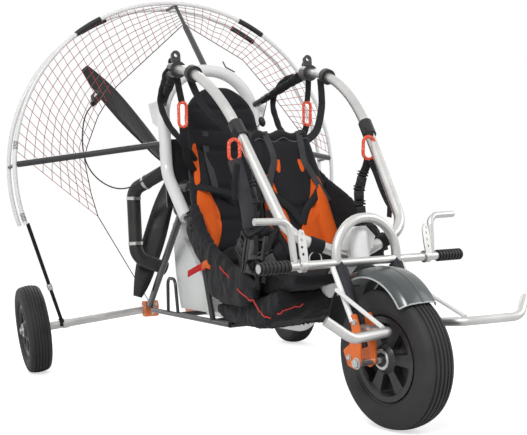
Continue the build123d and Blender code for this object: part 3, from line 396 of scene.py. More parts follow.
def settle(piece, name, finish, body):
    """Applies a piece's place, names and finishes it, and lets it ride on a body."""
    bpy.ops.object.select_all(action="DESELECT")
    piece.select_set(True)
    bpy.context.view_layer.objects.active = piece
    bpy.ops.object.transform_apply(location=True, rotation=True, scale=True)
    piece.name = name
    piece.data.materials.clear()
    piece.data.materials.append(finish.material)
    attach(piece, body)
    return piece


def along_x(direction):
    """Turn that brings the X axis to a direction and keeps Z upwards."""
    return Vector(direction).to_track_quat("X", "Z").to_matrix().to_4x4()


def outward(name, mesh, merge=None, turns=None):
    """New selected piece from a mesh: spun about X if asked, its doubles merged, its faces outwards."""
    piece = bpy.data.objects.new(name, mesh)
    bpy.context.scene.collection.objects.link(piece)
    bpy.ops.object.select_all(action="DESELECT")
    bpy.context.view_layer.objects.active = piece
    piece.select_set(True)
    bpy.ops.object.mode_set(mode="EDIT")
    bpy.ops.mesh.select_all(action="SELECT")
    if turns:
        bpy.ops.mesh.spin(steps=turns, angle=math.tau, center=(0, 0, 0), axis=(1, 0, 0))
        bpy.ops.mesh.select_all(action="SELECT")
    if merge:
        bpy.ops.mesh.remove_doubles(threshold=merge)
    bpy.ops.mesh.normals_make_consistent(inside=False)
    bpy.ops.object.mode_set(mode="OBJECT")
    return piece


def turned(name, profile, finish, body, place, direction, steps=40, merge=0.00002, edges=35):
    """Round piece spun from a closed (along, radius) profile about an axis through a place."""
    mesh = bpy.data.meshes.new(name)
    ring = [(index, (index + 1) % len(profile)) for index in range(len(profile))]
    if profile[0][1] == profile[-1][1] == 0:
        ring.pop()
    mesh.from_pydata([(run, 0, radius) for run, radius in profile], ring, [])
    piece = outward(name, mesh, merge, steps)
    bpy.ops.object.shade_smooth_by_angle(angle=math.radians(edges))
    piece.matrix_world = Matrix.Translation(place) @ along_x(direction)
    return settle(piece, name, finish, body)


WHEELS = (
    # body, tyre node
    ("front_wheel", "front_tyre"),
    ("rear_wheel_left", "rear_tyre_left"),
    ("rear_wheel_right", "rear_tyre_right"),
)
for body, node in WHEELS:
    middle = joints[body + "_spin"]["pos_m"]
    axis = joints[body + "_spin"]["axis"]
    name = node + "_ribbed"
    tyre = turned(name, tyre_profile, rubber, body, middle, axis, TYRE_STEPS, TYRE_MERGE, TYRE_EDGES)
    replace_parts(tyre, node)

# Rims and hubs
# Moulded black plastic rims, each with a pressed steel bearing ring and a seal on both sides
# of its hub.

rim_plastic = Finish("rim_nylon", "black_plastic", coat=0.2)
rim_plastic.mottle((0.012, 0.012, 0.013), (0.032, 0.032, 0.034), 30.0, 4.0, (0.24, 0.2))
rim_plastic.bump(rim_plastic.noise(1000.0, 2.0), 0.00004)
dress(("front_rim", "rear_rim_left", "rear_rim_right"), rim_plastic)

HANDS = ((-1, "right"), (1, "left"))
HUB_SEAT = 0.0452
BEARING_RING = (
    # along from the seat, radius
    (0, 0.0205),
    (0.0022, 0.0205),
    (0.0034, 0.0225),
    (0.0034, 0.0275),
    (0.0018, 0.0295),
    (0, 0.0295),
)
BEARING_SEAL = ((0, 0.0128), (0.0012, 0.0128), (0.0012, 0.0202), (0, 0.0202))
for body, node in WHEELS:
    middle = Vector(joints[body + "_spin"]["pos_m"])
    axis = Vector(joints[body + "_spin"]["axis"])
    for side, end in HANDS:
        face = middle + axis * side * HUB_SEAT
        turned(f"{body}_bearing_{end}", BEARING_RING, zinc, body, face, axis * side)
        turned(f"{body}_seal_{end}", BEARING_SEAL, plastic, body, face, axis * side)

# Fork: everything below turns with the steering
# Pieces are placed as for a fork that points straight ahead, then turned to how it stands.

STEER_REST = math.radians(8.5)
steering = joints["steering"]
head = Matrix.Translation(steering["pos_m"])
FORK_TURN = head @ Matrix.Rotation(STEER_REST, 4, Vector(steering["axis"])) @ head.inverted()
WHEELBASE = 1.976
FORK_AXLE_Z = 0.2


def on_fork(out, past_axle, height):
    """A place on the fork as it stands, ahead of the front axle."""
    return FORK_TURN @ spot(out, WHEELBASE + past_axle, height)


def fork_way(direction):
    """A direction given for a fork that points straight ahead, as the fork stands."""
    return FORK_TURN.to_3x3() @ Vector(direction)


# Mudguard
# A vacuum-formed guard of dark grey-green plastic: crowned across, with sides that turn down,
# a rolled edge that shows pale, a shallow ridge down its middle and a soft black flap behind.

guard_plastic = Finish("mudguard_plastic", "mudguard", coat=0.35)
guard_plastic.mottle((0.032, 0.041, 0.042), (0.062, 0.073, 0.072), 9.0, 3.0, (0.18, 0.16))

GUARD_BEHIND = 0.036
GUARD_UP = 0.064
GUARD_R = 0.194
GUARD_W = 0.134
GUARD_CROWN = 0.010
GUARD_FROM = math.radians(30)
GUARD_ARC = math.radians(107)
GUARD_SIDE = 0.046
GUARD_LIP = 0.016
GUARD_THICK = 0.0035
EDGE_D = 0.005
EDGE_SUNK = 0.002
RIDGE_SUNK = 0.0015
EDGE_STEPS = 40
RIDGE = ((0.007, 0), (0.003, 0.0028), (-0.003, 0.0028), (-0.007, 0))
pale_edge = Finish("pale_rolled_edge", "mudguard", roughness=0.35)
pale_edge.mottle((0.4, 0.42, 0.42), (0.6, 0.62, 0.61), 60.0)


class Shape:
    """Points, faces and UVs of swept pieces, gathered into one mesh."""

    def __init__(self):
        self.points = []
        self.faces = []
        self.uvs = []

    def sweep(self, line, section, face=(0, 0, 1), scale=None, looped=False):
        """Carries a closed section of (across, up) points along a line, its up side to a face."""
        count = len(section)
        first = len(self.points)
        face = Vector(face)
        travelled = 0.0
        reach = [0.0]
        for here, following in zip(line, line[1:] + line[:1]):
            travelled += (following - here).length
            reach.append(travelled)
        up_side = None
        for index, here in enumerate(line):
            before = line[index - 1] if looped or index else here
            after = line[(index + 1) % len(line)] if looped or index + 1 < len(line) else here
            way = (after - before).normalized()
            if up_side is None:
                up_side = face - way * face.dot(way)
            else:
                up_side = up_side - way * up_side.dot(way)
            up_side.normalize()
            across = way.cross(up_side)
            size = scale(index / (len(line) - 1)) if scale else 1.0
            for out, rise in section:
                self.points.append(here + across * out * size + up_side * rise * size)
        for index in range(len(line) if looped else len(line) - 1):
            for corner in range(count):
                after = (corner + 1) % count
                ring = first + index * count
                far = first + (index + 1) % len(line) * count
                self.faces.append((ring + corner, ring + after, far + after, far + corner))
                low, high = corner / count, (corner + 1) / count
                start, end = reach[index], reach[index + 1]
                self.uvs.append(((start, low), (start, high), (end, high), (end, low)))
        if looped:
            return
        last = first + (len(line) - 1) * count
        self.faces.append(tuple(range(first + count - 1, first - 1, -1)))
        self.uvs.append(((0, 0),) * count)
        self.faces.append(tuple(range(last, last + count)))
        self.uvs.append(((reach[-1], 0),) * count)

    def build(self, name, finish, body="chassis", edges=40):
        mesh = bpy.data.meshes.new(name)
        mesh.from_pydata(self.points, [], self.faces)
        layer = mesh.uv_layers.new(name="length_and_width")
        layer.data.foreach_set("uv", [value for face in self.uvs for corner in face for value in corner])
        mesh.validate()
        piece = outward(name, mesh)
        bpy.ops.object.shade_smooth_by_angle(angle=math.radians(edges))
        mesh.materials.append(finish.material)
        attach(piece, body)
        return piece


def circle(middle, across, up_side, radius, steps=28):
    """Places round a middle."""
    turns = [math.tau / steps * step for step in range(steps)]
    return [middle + (across * math.cos(turn) + up_side * math.sin(turn)) * radius for turn in turns]


def round_section(diameter, sides):
    """Round section for a sweep."""
    return circle(Vector((0, 0)), Vector((1, 0)), Vector((0, 1)), diameter / 2, sides)


def cord(name, line, diameter, finish, sides=6, face=(0, 0, 1), scale=None, looped=False):
    """One round cord, wire or cover along a line."""
    made = Shape()
    made.sweep(line, round_section(diameter, sides), face, scale, looped)
    return made.build(name, finish)


def guard_drop(out):
    """How far the guard falls away from its ridge at a distance out."""
    turned_down = max(0.0, (abs(out) - GUARD_SIDE) / (GUARD_W / 2 - GUARD_SIDE))
    return GUARD_CROWN * (2 * out / GUARD_W) ** 2 + GUARD_LIP * turned_down**1.6


def guard_point(share, out, lift):
    """A place over the mudguard: share of its arc from the front, distance out, height over the plastic."""
    angle = GUARD_FROM + GUARD_ARC * share
    radius = GUARD_R - guard_drop(out) + lift
    ahead = radius * math.cos(angle) - GUARD_BEHIND
    return on_fork(out, ahead, FORK_AXLE_Z + GUARD_UP + radius * math.sin(angle))


shares = [step / EDGE_STEPS for step in range(EDGE_STEPS + 1)]
outline = [GUARD_W * (step / 28 - 0.5) for step in range(29)]
guard_section = [(out, -guard_drop(out)) for out in outline]
guard_section += [(out, -guard_drop(out) - GUARD_THICK) for out in reversed(outline)]
guard = Shape()
guard_up = fork_way((0, -math.cos(GUARD_FROM), math.sin(GUARD_FROM)))
guard.sweep([guard_point(share, 0, 0) for share in shares], guard_section, guard_up)
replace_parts(guard.build("mudguard_shell", guard_plastic, "fork", 50), "mudguard")
rolled = Shape()
for side in (-1, 1):
    edge_line = [guard_point(share, side * GUARD_W / 2, -EDGE_SUNK) for share in shares]
    rolled.sweep(edge_line, round_section(EDGE_D, 8), fork_way((1, 0, 0)))
front_edge = [guard_point(0, GUARD_W * (step / 12 - 0.5), -EDGE_SUNK) for step in range(13)]
rolled.sweep(front_edge, round_section(EDGE_D, 8))
rolled.build("mudguard_rolled_edge", pale_edge, "fork")
ridge = Shape()
ridge.sweep([guard_point(share, 0, -RIDGE_SUNK) for share in shares], RIDGE, fork_way((0, 0, 1)))
ridge.build("mudguard_ridge", guard_plastic, "fork")

# Elbow plates, bolts and axle brackets
# Orange anodised plates that join the struts to the front axle and the axle tubes to the rails,
# with zinc plated bolts through them.

anodised = Finish("orange_anodised", "orange_plate", metallic=0.25, coat=0.2)
anodised.mottle((0.7, 0.12, 0.012), (0.94, 0.22, 0.035), 26.0, 4.0, (0.28, 0.18))
dress(("link_plates", "axle_brackets"), anodised)

WASHER = ((0, 0), (0, 0.0078), (0.0004, 0.0082), (0.0014, 0.0082), (0.0014, 0))
HEXAGON = ((0.0015, 0), (0.0015, 0.0066), (0.0052, 0.0066), (0.006, 0.0056), (0.006, 0))


def bolt(name, place, direction, body, size=1.0):
    """Hexagon head on a washer, with its seat at the place."""
    for part, profile, steps in (("washer", WASHER, 24), ("head", HEXAGON, 6)):
        sized = [(run * size, radius * size) for run, radius in profile]
        turned(f"{name}_{part}", sized, zinc, body, place, direction, steps)


ELBOW_SEAT = 0.1327
ELBOW_BOLTS = (
    # past the front axle, height, size of the bolt
    (0.0, 0.312, 1.1),
    (0.0, 0.262, 1.1),
    (-0.034, 0.214, 1.1),
    (0.0, 0.2, 2.0),
)
BRACKET_BOLTS = ((0.092, 0.02), (0.128, 0.02), (0.11, -0.02))
low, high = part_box("axle_brackets")
for side, end in HANDS:
    for index, (past, height, size) in enumerate(ELBOW_BOLTS):
        seat = on_fork(side * ELBOW_SEAT, past, height)
        bolt(f"elbow_bolt_{end}_{index}", seat, fork_way((side, 0, 0)), "fork", size)
    for index, (out, height) in enumerate(BRACKET_BOLTS):
        seat = Vector((side * out, low.y - 0.0002, (low.z + high.z) / 2 + height))
        bolt(f"bracket_bolt_{end}_{index}", seat, (0, -1, 0), "chassis")

# Fuel tank
# Blow-moulded tank of milky polyethylene between the rails, with a black screw cap.

milky = Finish("milky_polyethylene", "fuel_tank")
milky.mottle((0.78, 0.8, 0.77), (0.9, 0.91, 0.89), 5.0, 3.0, (0.3, 0.16))
milky.bump(milky.noise(60.0, 2.0), 0.0004)
dress(("fuel_tank",), milky)
CAP = (
    # along from the neck, radius
    (0, 0),
    (0, 0.033),
    (0.002, 0.035),
    (0.018, 0.035),
    (0.022, 0.032),
    (0.022, 0.02),
    (0.019, 0.018),
    (0.019, 0),
)
neck_top = spot(0, 0.640, 0.610)
cap_way = (neck_top - spot(0, 0.618, 0.560)).normalized()
turned("tank_cap", CAP, plastic, "chassis", neck_top + cap_way * 0.0002, cap_way, 28)

# Engine, drive and exhaust
# Two-stroke single: dark cast case, ribbed black cylinder, carburettor with its filter,
# belt drive, and a satin black exhaust held by zinc bands.

casting = Finish("dark_casting", "engine_metal", metallic=0.6)
casting.mottle((0.05, 0.05, 0.05), (0.15, 0.15, 0.148), 34.0, 5.0, (0.42, 0.2))
casting.bump(casting.noise(600.0, 3.0), 0.00012)
dress(("engine_block", "engine_cylinder", "drive_carrier"), casting)
dress(("carburettor", "drive_belt", "foot_pegs"), plastic)
exhaust_coat = Finish("exhaust_black", "black_metal", metallic=0.2)
exhaust_coat.mottle((0.012, 0.012, 0.012), (0.044, 0.042, 0.04), 12.0, 5.0, (0.34, 0.26))
exhaust_coat.bump(exhaust_coat.noise(160.0, 4.0), 0.0004)
dress(("exhaust_pipe",), exhaust_coat)

# Propeller
# Three blades of polished black composite on an aluminium hub.

gloss_black = Finish("polished_composite", "propeller", coat=0.15, specular=0.35)
gloss_black.mottle((0.009, 0.009, 0.01), (0.02, 0.02, 0.022), 300.0, 1.0, (0.2, 0.08))
dress(("propeller",), gloss_black)

# Netting
# Knotted guard net from the front ring to a thin inner cord, with every line one thread:
# red across and grey along. The cord goes on down to the axle bracket.

CAGE_AHEAD = 0.339
CAGE_R = 0.756
CAGE_Z = 0.891
NET_D = 0.0025
CORD_D = 0.004
NET_TOP = (0.0, 0.430, 1.530)
NET_RIGHT = (
    NET_TOP,
    (-0.302, CAGE_AHEAD, 1.259),
    (-0.390, CAGE_AHEAD, 1.129),
    (-0.446, CAGE_AHEAD, 0.994),
    (-0.461, CAGE_AHEAD, 0.940),
    (-0.440, CAGE_AHEAD, 0.793),
    (-0.415, CAGE_AHEAD, 0.690),
)
NET_LEFT = (NET_TOP, (0.317, CAGE_AHEAD, 1.396), (0.472, CAGE_AHEAD, 1.217), (0.615, CAGE_AHEAD, 1.028))
NET_BELLY = 0.012
WINDING_R = 0.0102
NET_SIDES = (
    # inner cord, angle on the ring where the net ends, cells along and across
    (NET_RIGHT, 172.8, 27, 9),
    (NET_LEFT, 4.0, 26, 6),
)


def thread(name, colour):
    """Twisted synthetic thread."""
    made = Finish(name, "webbing", roughness=0.6)
    made.mottle(colour, [value * 0.7 for value in colour], 200.0)
    return made


red_thread = thread("red_thread", (0.6, 0.03, 0.035))
grey_thread = thread("grey_thread", (0.2, 0.18, 0.18))
black_thread = thread("black_thread", (0.02, 0.02, 0.02))


def along(points, share):
    """Place on a run of points at a share of its whole length."""
    runs = [(following - here).length for here, following in zip(points, points[1:])]
    left = share * sum(runs)
    for here, following, run in zip(points, points[1:], runs):
        if left <= run:
            return here + (following - here) * (left / run)
        left -= run
    return points[-1]


net_red = Shape()
net_grey = Shape()
inner_cord = Shape()
for border, end_angle, cells_along, cells_across in NET_SIDES:
    inner = [spot(*place) for place in border]
    grid = []
    for step in range(cells_along + 1):
        share = step / cells_along
        angle = math.radians(90 + (end_angle - 90) * share)
        outer = spot(CAGE_R * math.cos(angle), CAGE_AHEAD, CAGE_Z + CAGE_R * math.sin(angle))
        held = along(inner, share)
        row = []
        for cell in range(cells_across + 1):
            across = cell / cells_across
            belly = NET_BELLY * math.sin(across * math.pi) * math.sin(step * 1.7)
            row.append(outer + (held - outer) * across + Vector((0, belly, 0)))
        grid.append(row)
    for row in grid[1:]:
        net_red.sweep(row, round_section(NET_D, 4))
    for cell in range(1, cells_across):
        net_grey.sweep([row[cell] for row in grid], round_section(NET_D, 4), (0, 1, 0))
    inner_cord.sweep([along(inner, step / 40) for step in range(41)], round_section(CORD_D, 6), (0, 1, 0))
bracket_low, bracket_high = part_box("axle_brackets")
cord_foot = Vector((bracket_low.x + 0.02, bracket_low.y + 0.012, bracket_high.z - 0.001))
inner_cord.sweep([spot(*NET_RIGHT[-1]), cord_foot], round_section(CORD_D, 6), (0, 1, 0))
net_red.build("net_threads_across", red_thread)
net_grey.build("net_threads_along", grey_thread)
inner_cord.build("net_inner_cord", black_thread)
winding = Shape()
for degrees in (196, 172.8):
    angle = math.radians(degrees)
    hub = spot(CAGE_R * math.cos(angle), CAGE_AHEAD, CAGE_Z + CAGE_R * math.sin(angle))
    way = Vector((math.sin(angle), 0, -math.cos(angle)))
    out = Vector((math.cos(angle), 0, math.sin(angle)))
    turns = []
    for step in range(121):
        swing = step / 20 * math.tau
        offset = out * math.cos(swing) + Vector((0, 1, 0)) * math.sin(swing)
        turns.append(hub + way * (step * 0.0003) + offset * WINDING_R)
    winding.sweep(turns, round_section(0.002, 5), way)
winding.build("net_winding", black_thread)

# Seat cloth, tapes and sewn backs
# Backs, cushions and the bag are sewn from black woven nylon with orange panels and grey webbing.

cloth = Finish("black_nylon", "seat_fabric", specular=0.18)
cloth.set("Sheen Weight", 0.06)
folds = cloth.mottle((0.007, 0.007, 0.008), (0.022, 0.022, 0.025), 14.0, 4.0, (0.72, 0.2))
cloth.bump(folds + cloth.noise(900.0, 2.0) * 0.12, 0.003)

orange = Finish("orange_nylon", "seat_fabric", roughness=0.74, specular=0.2)
orange.set("Sheen Weight", 0.05)
folds = orange.mottle((0.62, 0.075, 0.006), (0.88, 0.15, 0.015), 16.0, 4.0)
orange.bump(folds + orange.noise(900.0, 2.0) * 0.12, 0.002)


def tape(name, dark, light):
    """Woven webbing: ribs across its length, from its own UV map, and worn patches."""
    made = Finish(name, "webbing", roughness=0.7, specular=0.2)
    ribs = (made.axis(made.strip(), "X") * 2200.0).sine()
    worn = made.mottle(dark, light, 30.0, 4.0)
    made.bump(ribs * 0.5 + worn, 0.0006)
    return made


grey_tape = tape("grey_webbing", (0.035, 0.035, 0.038), (0.075, 0.075, 0.082))
black_tape = tape("black_webbing", (0.009, 0.009, 0.010), (0.026, 0.026, 0.029))
orange_tape = tape("orange_webbing", (0.7, 0.1, 0.02), (0.9, 0.2, 0.05))
piping = thread("red_piping", (0.7, 0.04, 0.03))
grey_piping = thread("grey_piping", (0.1, 0.1, 0.105))


def smooth_line(points, steps=8, looped=False):
    """A smooth line through points."""
    last = len(points) - 1
    line = []
    for index in range(len(points) if looped else last):
        picks = [index - 1, index, index + 1, index + 2]
        if looped:
            picks = [pick % len(points) for pick in picks]
        before, here, following, after = [points[min(max(pick, 0), last)] for pick in picks]
        for step in range(steps):
            t = step / steps
            line.append(
                before * (-0.5 * t**3 + t**2 - 0.5 * t)
                + here * (1.5 * t**3 - 2.5 * t**2 + 1)
                + following * (-1.5 * t**3 + 2 * t**2 + 0.5 * t)
                + after * (0.5 * t**3 - 0.5 * t**2)
            )
    return line if looped else line + [points[-1]]


def spots(places, side=1):
    """Places from their (out, ahead, height), or their mirror images for side -1."""
    return [spot(side * out, ahead, height) for out, ahead, height in places]


WAVE_RUN = 0.0435
SEAM_HALF = 0.011
EDGE_RUN = 0.045


class Pad:
    """A sewn back: its frame on the seat, its outline and the height of its front face."""

    def __init__(self, foot, top, thick, halves, round_top, seams, wave=0.0):
        self.foot = spot(0, *foot)
        self.rise = spot(0, *top) - self.foot
        self.length = self.rise.length
        self.rise.normalize()
        self.normal = Vector((0, -self.rise.z, self.rise.y))
        self.thick = thick
        self.halves = halves
        self.round_top = round_top
        self.seams = seams
        self.wave = wave

    def half(self, height):
        """Half width at a height along the back."""
        width = self.halves[-1][1]
        for (low, low_half), (high, high_half) in zip(self.halves, self.halves[1:]):
            if low <= height <= high:
                width = low_half + (high_half - low_half) * (height - low) / (high - low)
                break
        over = height - (self.length - self.round_top)
        if over > 0:
            width -= self.round_top - math.sqrt(max(self.round_top**2 - over**2, 0))
        return max(width, 0.0)

    def ripple(self, x, height):
        """How far the wavy top edge moves a place along the back."""
        share = max(0.0, min(1.0, (height - self.length + 0.06) / 0.06))
        return self.wave * share * math.cos(math.pi * x / WAVE_RUN)

    def seam_depth(self, x, height):
        depth = 0.0
        for strength, points in self.seams:
            nearest = 1.0
            for (x0, h0), (x1, h1) in zip(points, points[1:]):
                run = Vector((x1 - x0, h1 - h0))
                share = max(0.0, min(1.0, Vector((x - x0, height - h0)).dot(run) / run.length_squared))
                nearest = min(nearest, (Vector((x, height)) - Vector((x0, h0)) - run * share).length)
            depth += strength * math.exp(-((nearest / SEAM_HALF) ** 2))
        return depth

    def front(self, x, height, lift=0.0):
        """Point on the front face, lifted off it."""
        edge = min(self.half(height) - abs(x), height, self.length - height)
        share = max(0.0, min(1.0, edge / EDGE_RUN))
        swell = math.sqrt(max(0.0, 1 - (1 - share) ** 2))
        rise = self.thick * (0.42 + 0.58 * swell) - self.seam_depth(x, height) * share
        along_rise = height + self.ripple(x, height)
        return self.foot + Vector((x, 0, 0)) + self.rise * along_rise + self.normal * (rise + lift)

    def build(self, name, finish, columns=44, rows=96):
        mesh = bpy.data.meshes.new(name)
        points = []
        for layer in (0, 1):
            for row in range(rows + 1):
                height = self.length * (1 - (1 - row / rows) ** 1.25)
                half = max(self.half(height), 0.002)
                for column in range(columns + 1):
                    x = half * (2 * column / columns - 1)
                    if layer:
                        points.append(self.front(x, height))
                    else:
                        lengthways = math.sin(math.pi * height / self.length)
                        drop = 0.004 * math.cos(math.pi * x / (2 * half)) * lengthways
                        base = self.foot + Vector((x, 0, 0)) + self.rise * (height + self.ripple(x, height))
                        points.append(base + self.normal * (0.006 - drop))
        wide = columns + 1
        layer_size = wide * (rows + 1)
        faces = []
        for row in range(rows):
            for column in range(columns):
                here = row * wide + column
                faces.append((here, here + 1, here + wide + 1, here + wide))
                there = layer_size + here
                faces.append((there, there + wide, there + wide + 1, there + 1))
        rim = list(range(wide))
        rim += [row * wide + columns for row in range(1, rows + 1)]
        rim += [rows * wide + column for column in range(columns - 1, -1, -1)]
        rim += [row * wide for row in range(rows - 1, 0, -1)]
        for here, following in zip(rim, rim[1:] + rim[:1]):
            faces.append((here, layer_size + here, layer_size + following, following))
        mesh.from_pydata(points, [], faces)
        piece = outward(name, mesh, 0.0002)
        bpy.ops.object.shade_smooth()
        mesh.materials.append(finish.material)
        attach(piece, "chassis")
        return piece

    def panel(self, name, outline, finish, lift=0.004):
        """A sewn panel on the front face, domed, from its outline as (out, up) points."""
        corners = smooth_line([Vector(corner) for corner in outline], 6, True)
        middle_x = sum(x for x, height in corners) / len(corners)
        middle_height = sum(height for x, height in corners) / len(corners)
        mesh = bpy.data.meshes.new(name)
        points = []
        faces = []
        rings = (1.0, 0.985, 0.94, 0.86, 0.7, 0.5, 0.25, 0.02)
        for index, ring in enumerate(rings):
            for x, height in corners:
                px = middle_x + (x - middle_x) * ring
                ph = middle_height + (height - middle_height) * ring
                dome = lift * math.sqrt(max(0.0, 1 - ring**6)) if index else -0.003
                points.append(self.front(px, ph, dome + 0.0004))
        total = len(corners)
        for index in range(len(rings) - 1):
            for step in range(total):
                here = index * total + step
                following = index * total + (step + 1) % total
                faces.append((here, following, following + total, here + total))
        faces.append(tuple(range((len(rings) - 1) * total, len(rings) * total)))
        mesh.from_pydata(points, [], faces)
        piece = outward(name, mesh)
        if sum(face.normal.dot(self.normal) for face in mesh.polygons) < 0:
            mesh.flip_normals()
        bpy.ops.object.shade_smooth()
        mesh.materials.append(finish.material)
        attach(piece, "chassis")
        return piece


def strap(name, points, face, width, finish, thick=0.0026, steps=8):
    """Flat strap along a smooth line through points, its flat side towards a face."""
    half = width / 2
    rise = thick / 2
    nip = thick * 0.4
    section = [(half, -rise + nip), (half, rise - nip), (half - nip, rise), (-half + nip, rise)]
    section += [(-half, rise - nip), (-half, -rise + nip), (-half + nip, -rise), (half - nip, -rise)]
    made = Shape()
    made.sweep(smooth_line([Vector(point) for point in points], steps), section, face)
    return made.build(name, finish, edges=50)


# Rear seat
# Tall quilted back with a rounded head and orange panels at its sides, over a padded base.

REAR_SEAMS = (
    (0.012, ((-0.148, 0.612), (0.0, 0.602), (0.148, 0.612))),
    (0.012, ((-0.148, 0.520), (0.0, 0.508), (0.148, 0.520))),
    (0.012, ((-0.148, 0.432), (0.0, 0.418), (0.148, 0.432))),
    (0.009, ((-0.112, 0.430), (-0.104, 0.300), (-0.100, 0.150), (-0.110, 0.000))),
    (0.009, ((0.112, 0.430), (0.104, 0.300), (0.100, 0.150), (0.110, 0.000))),
    (0.009, ((-0.100, 0.262), (0.0, 0.250), (0.100, 0.262))),
    (0.009, ((-0.100, 0.130), (0.0, 0.120), (0.100, 0.130))),
)
REAR_HALVES = ((0, 0.160), (0.08, 0.182), (0.24, 0.184), (0.40, 0.166), (0.55, 0.150), (0.75, 0.148))
rear_back = Pad((0.970, 0.497), (0.742, 1.172), 0.056, REAR_HALVES, 0.148, REAR_SEAMS)
piece = rear_back.build("rear_back_quilted", cloth)
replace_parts(piece, "rear_seat_back")
REAR_STRIP = (
    (0.138, 0.445),
    (0.152, 0.440),
    (0.162, 0.350),
    (0.168, 0.280),
    (0.150, 0.284),
    (0.142, 0.350),
)
REAR_KIDNEY = (
    (0.146, 0.272),
    (0.166, 0.250),
    (0.175, 0.190),
    (0.176, 0.130),
    (0.168, 0.060),
    (0.146, 0.006),
    (0.122, 0.020),
    (0.100, 0.070),
    (0.090, 0.130),
    (0.098, 0.190),
    (0.118, 0.240),
)
REAR_SHOULDER = ((0.092, 0.500), (0.098, 0.420), (0.096, 0.330), (0.090, 0.240))
REAR_CHEST = ((0.146, 0.275), (0.105, 0.262), (0.055, 0.215), (0.02, 0.19))
for side, end in HANDS:
    strip = [(side * x, height) for x, height in REAR_STRIP]
    rear_back.panel(f"rear_side_strip_{end}", strip, orange, 0.003)
    kidney = [(side * x, height) for x, height in REAR_KIDNEY]
    rear_back.panel(f"rear_hip_panel_{end}", kidney, orange, 0.006)
    line = [rear_back.front(side * x, height, 0.003) for x, height in REAR_SHOULDER]
    strap(f"rear_shoulder_strap_{end}", line, rear_back.normal, 0.026, grey_tape)
    line = [rear_back.front(side * x, height, 0.0035) for x, height in REAR_CHEST]
    strap(f"rear_chest_strap_{end}", line, rear_back.normal, 0.024, black_tape)

# Front seat
# Lower back with a wavy top edge and a piped seam under it, orange hip panels, and a padded
# side wing at each hip that carries the harness buckles.

FRONT_SEAMS = (
    (0.010, ((-0.112, 0.450), (-0.055, 0.458), (0.0, 0.450), (0.055, 0.458), (0.112, 0.450))),
    (0.010, ((-0.080, 0.450), (-0.088, 0.330), (-0.060, 0.220), (-0.075, 0.100), (-0.090, 0.000))),
    (0.010, ((0.080, 0.450), (0.088, 0.330), (0.060, 0.220), (0.075, 0.100), (0.090, 0.000))),
    (0.008, ((-0.060, 0.215), (0.0, 0.200), (0.060, 0.215))),
)
FRONT_HALVES = ((0, 0.158), (0.20, 0.146), (0.36, 0.122), (0.47, 0.108), (0.50, 0.108))
front_back = Pad((1.470, 0.4434), (1.320, 0.915), 0.056, FRONT_HALVES, 0.024, FRONT_SEAMS, 0.007)
piece = front_back.build("front_back_sewn", cloth)
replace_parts(piece, "front_seat_back")
FRONT_HIP = (
    (0.080, 0.325),
    (0.106, 0.300),
    (0.118, 0.250),
    (0.124, 0.180),
    (0.132, 0.090),
    (0.110, 0.050),
    (0.030, 0.075),
    (-0.012, 0.100),
    (0.022, 0.180),
    (0.060, 0.255),
)
FRONT_PATCH = ((0.034, 0.374), (0.050, 0.370), (0.052, 0.336), (0.040, 0.332))
FRONT_HIP_RIGHT = (
    (-0.080, 0.325),
    (-0.106, 0.300),
    (-0.118, 0.250),
    (-0.124, 0.180),
    (-0.132, 0.090),
    (-0.110, 0.050),
    (-0.050, 0.075),
    (-0.040, 0.140),
    (-0.055, 0.220),
)
front_back.panel("front_hip_panel_left", FRONT_HIP, orange, 0.006)
front_back.panel("front_hip_panel_right", FRONT_HIP_RIGHT, orange, 0.006)
front_back.panel("front_patch_left", FRONT_PATCH, orange, 0.002)
front_back.panel("front_patch_right", [(-x, height) for x, height in FRONT_PATCH], orange, 0.002)
top_line = []
for step in range(41):
    x = 0.104 * (step / 20 - 1)
    top_line.append(front_back.front(x, 0.452 + 0.006 * math.cos(math.pi * x / WAVE_RUN), 0.0015))
cord("front_top_piping", top_line, 0.004, grey_piping, face=front_back.normal)
FRONT_SHOULDER = (
    (0.066, 0.486),
    (0.058, 0.411),
    (0.058, 0.366),
    (0.074, 0.330),
    (0.100, 0.262),
    (0.124, 0.220),
)
FRONT_LAP = ((0.118, 0.300), (0.075, 0.240), (0.03, 0.195), (0.0, 0.14))
for side, end in HANDS:
    line = [front_back.front(side * x, height, 0.004) for x, height in FRONT_SHOULDER]
    strap(f"front_shoulder_strap_{end}", line, front_back.normal, 0.024, grey_tape)
    line = [front_back.front(side * x, height, 0.0075) for x, height in FRONT_LAP]
    strap(f"front_lap_strap_{end}", line, front_back.normal, 0.026, black_tape)

# Cushions, side wings, skirts and the bag under the front seat
# Each starts from a closed solid, is remeshed, creased and blown up a little as cloth, so its
# panels swell between their edges. The bag carries red piping and a red pull tab behind it.


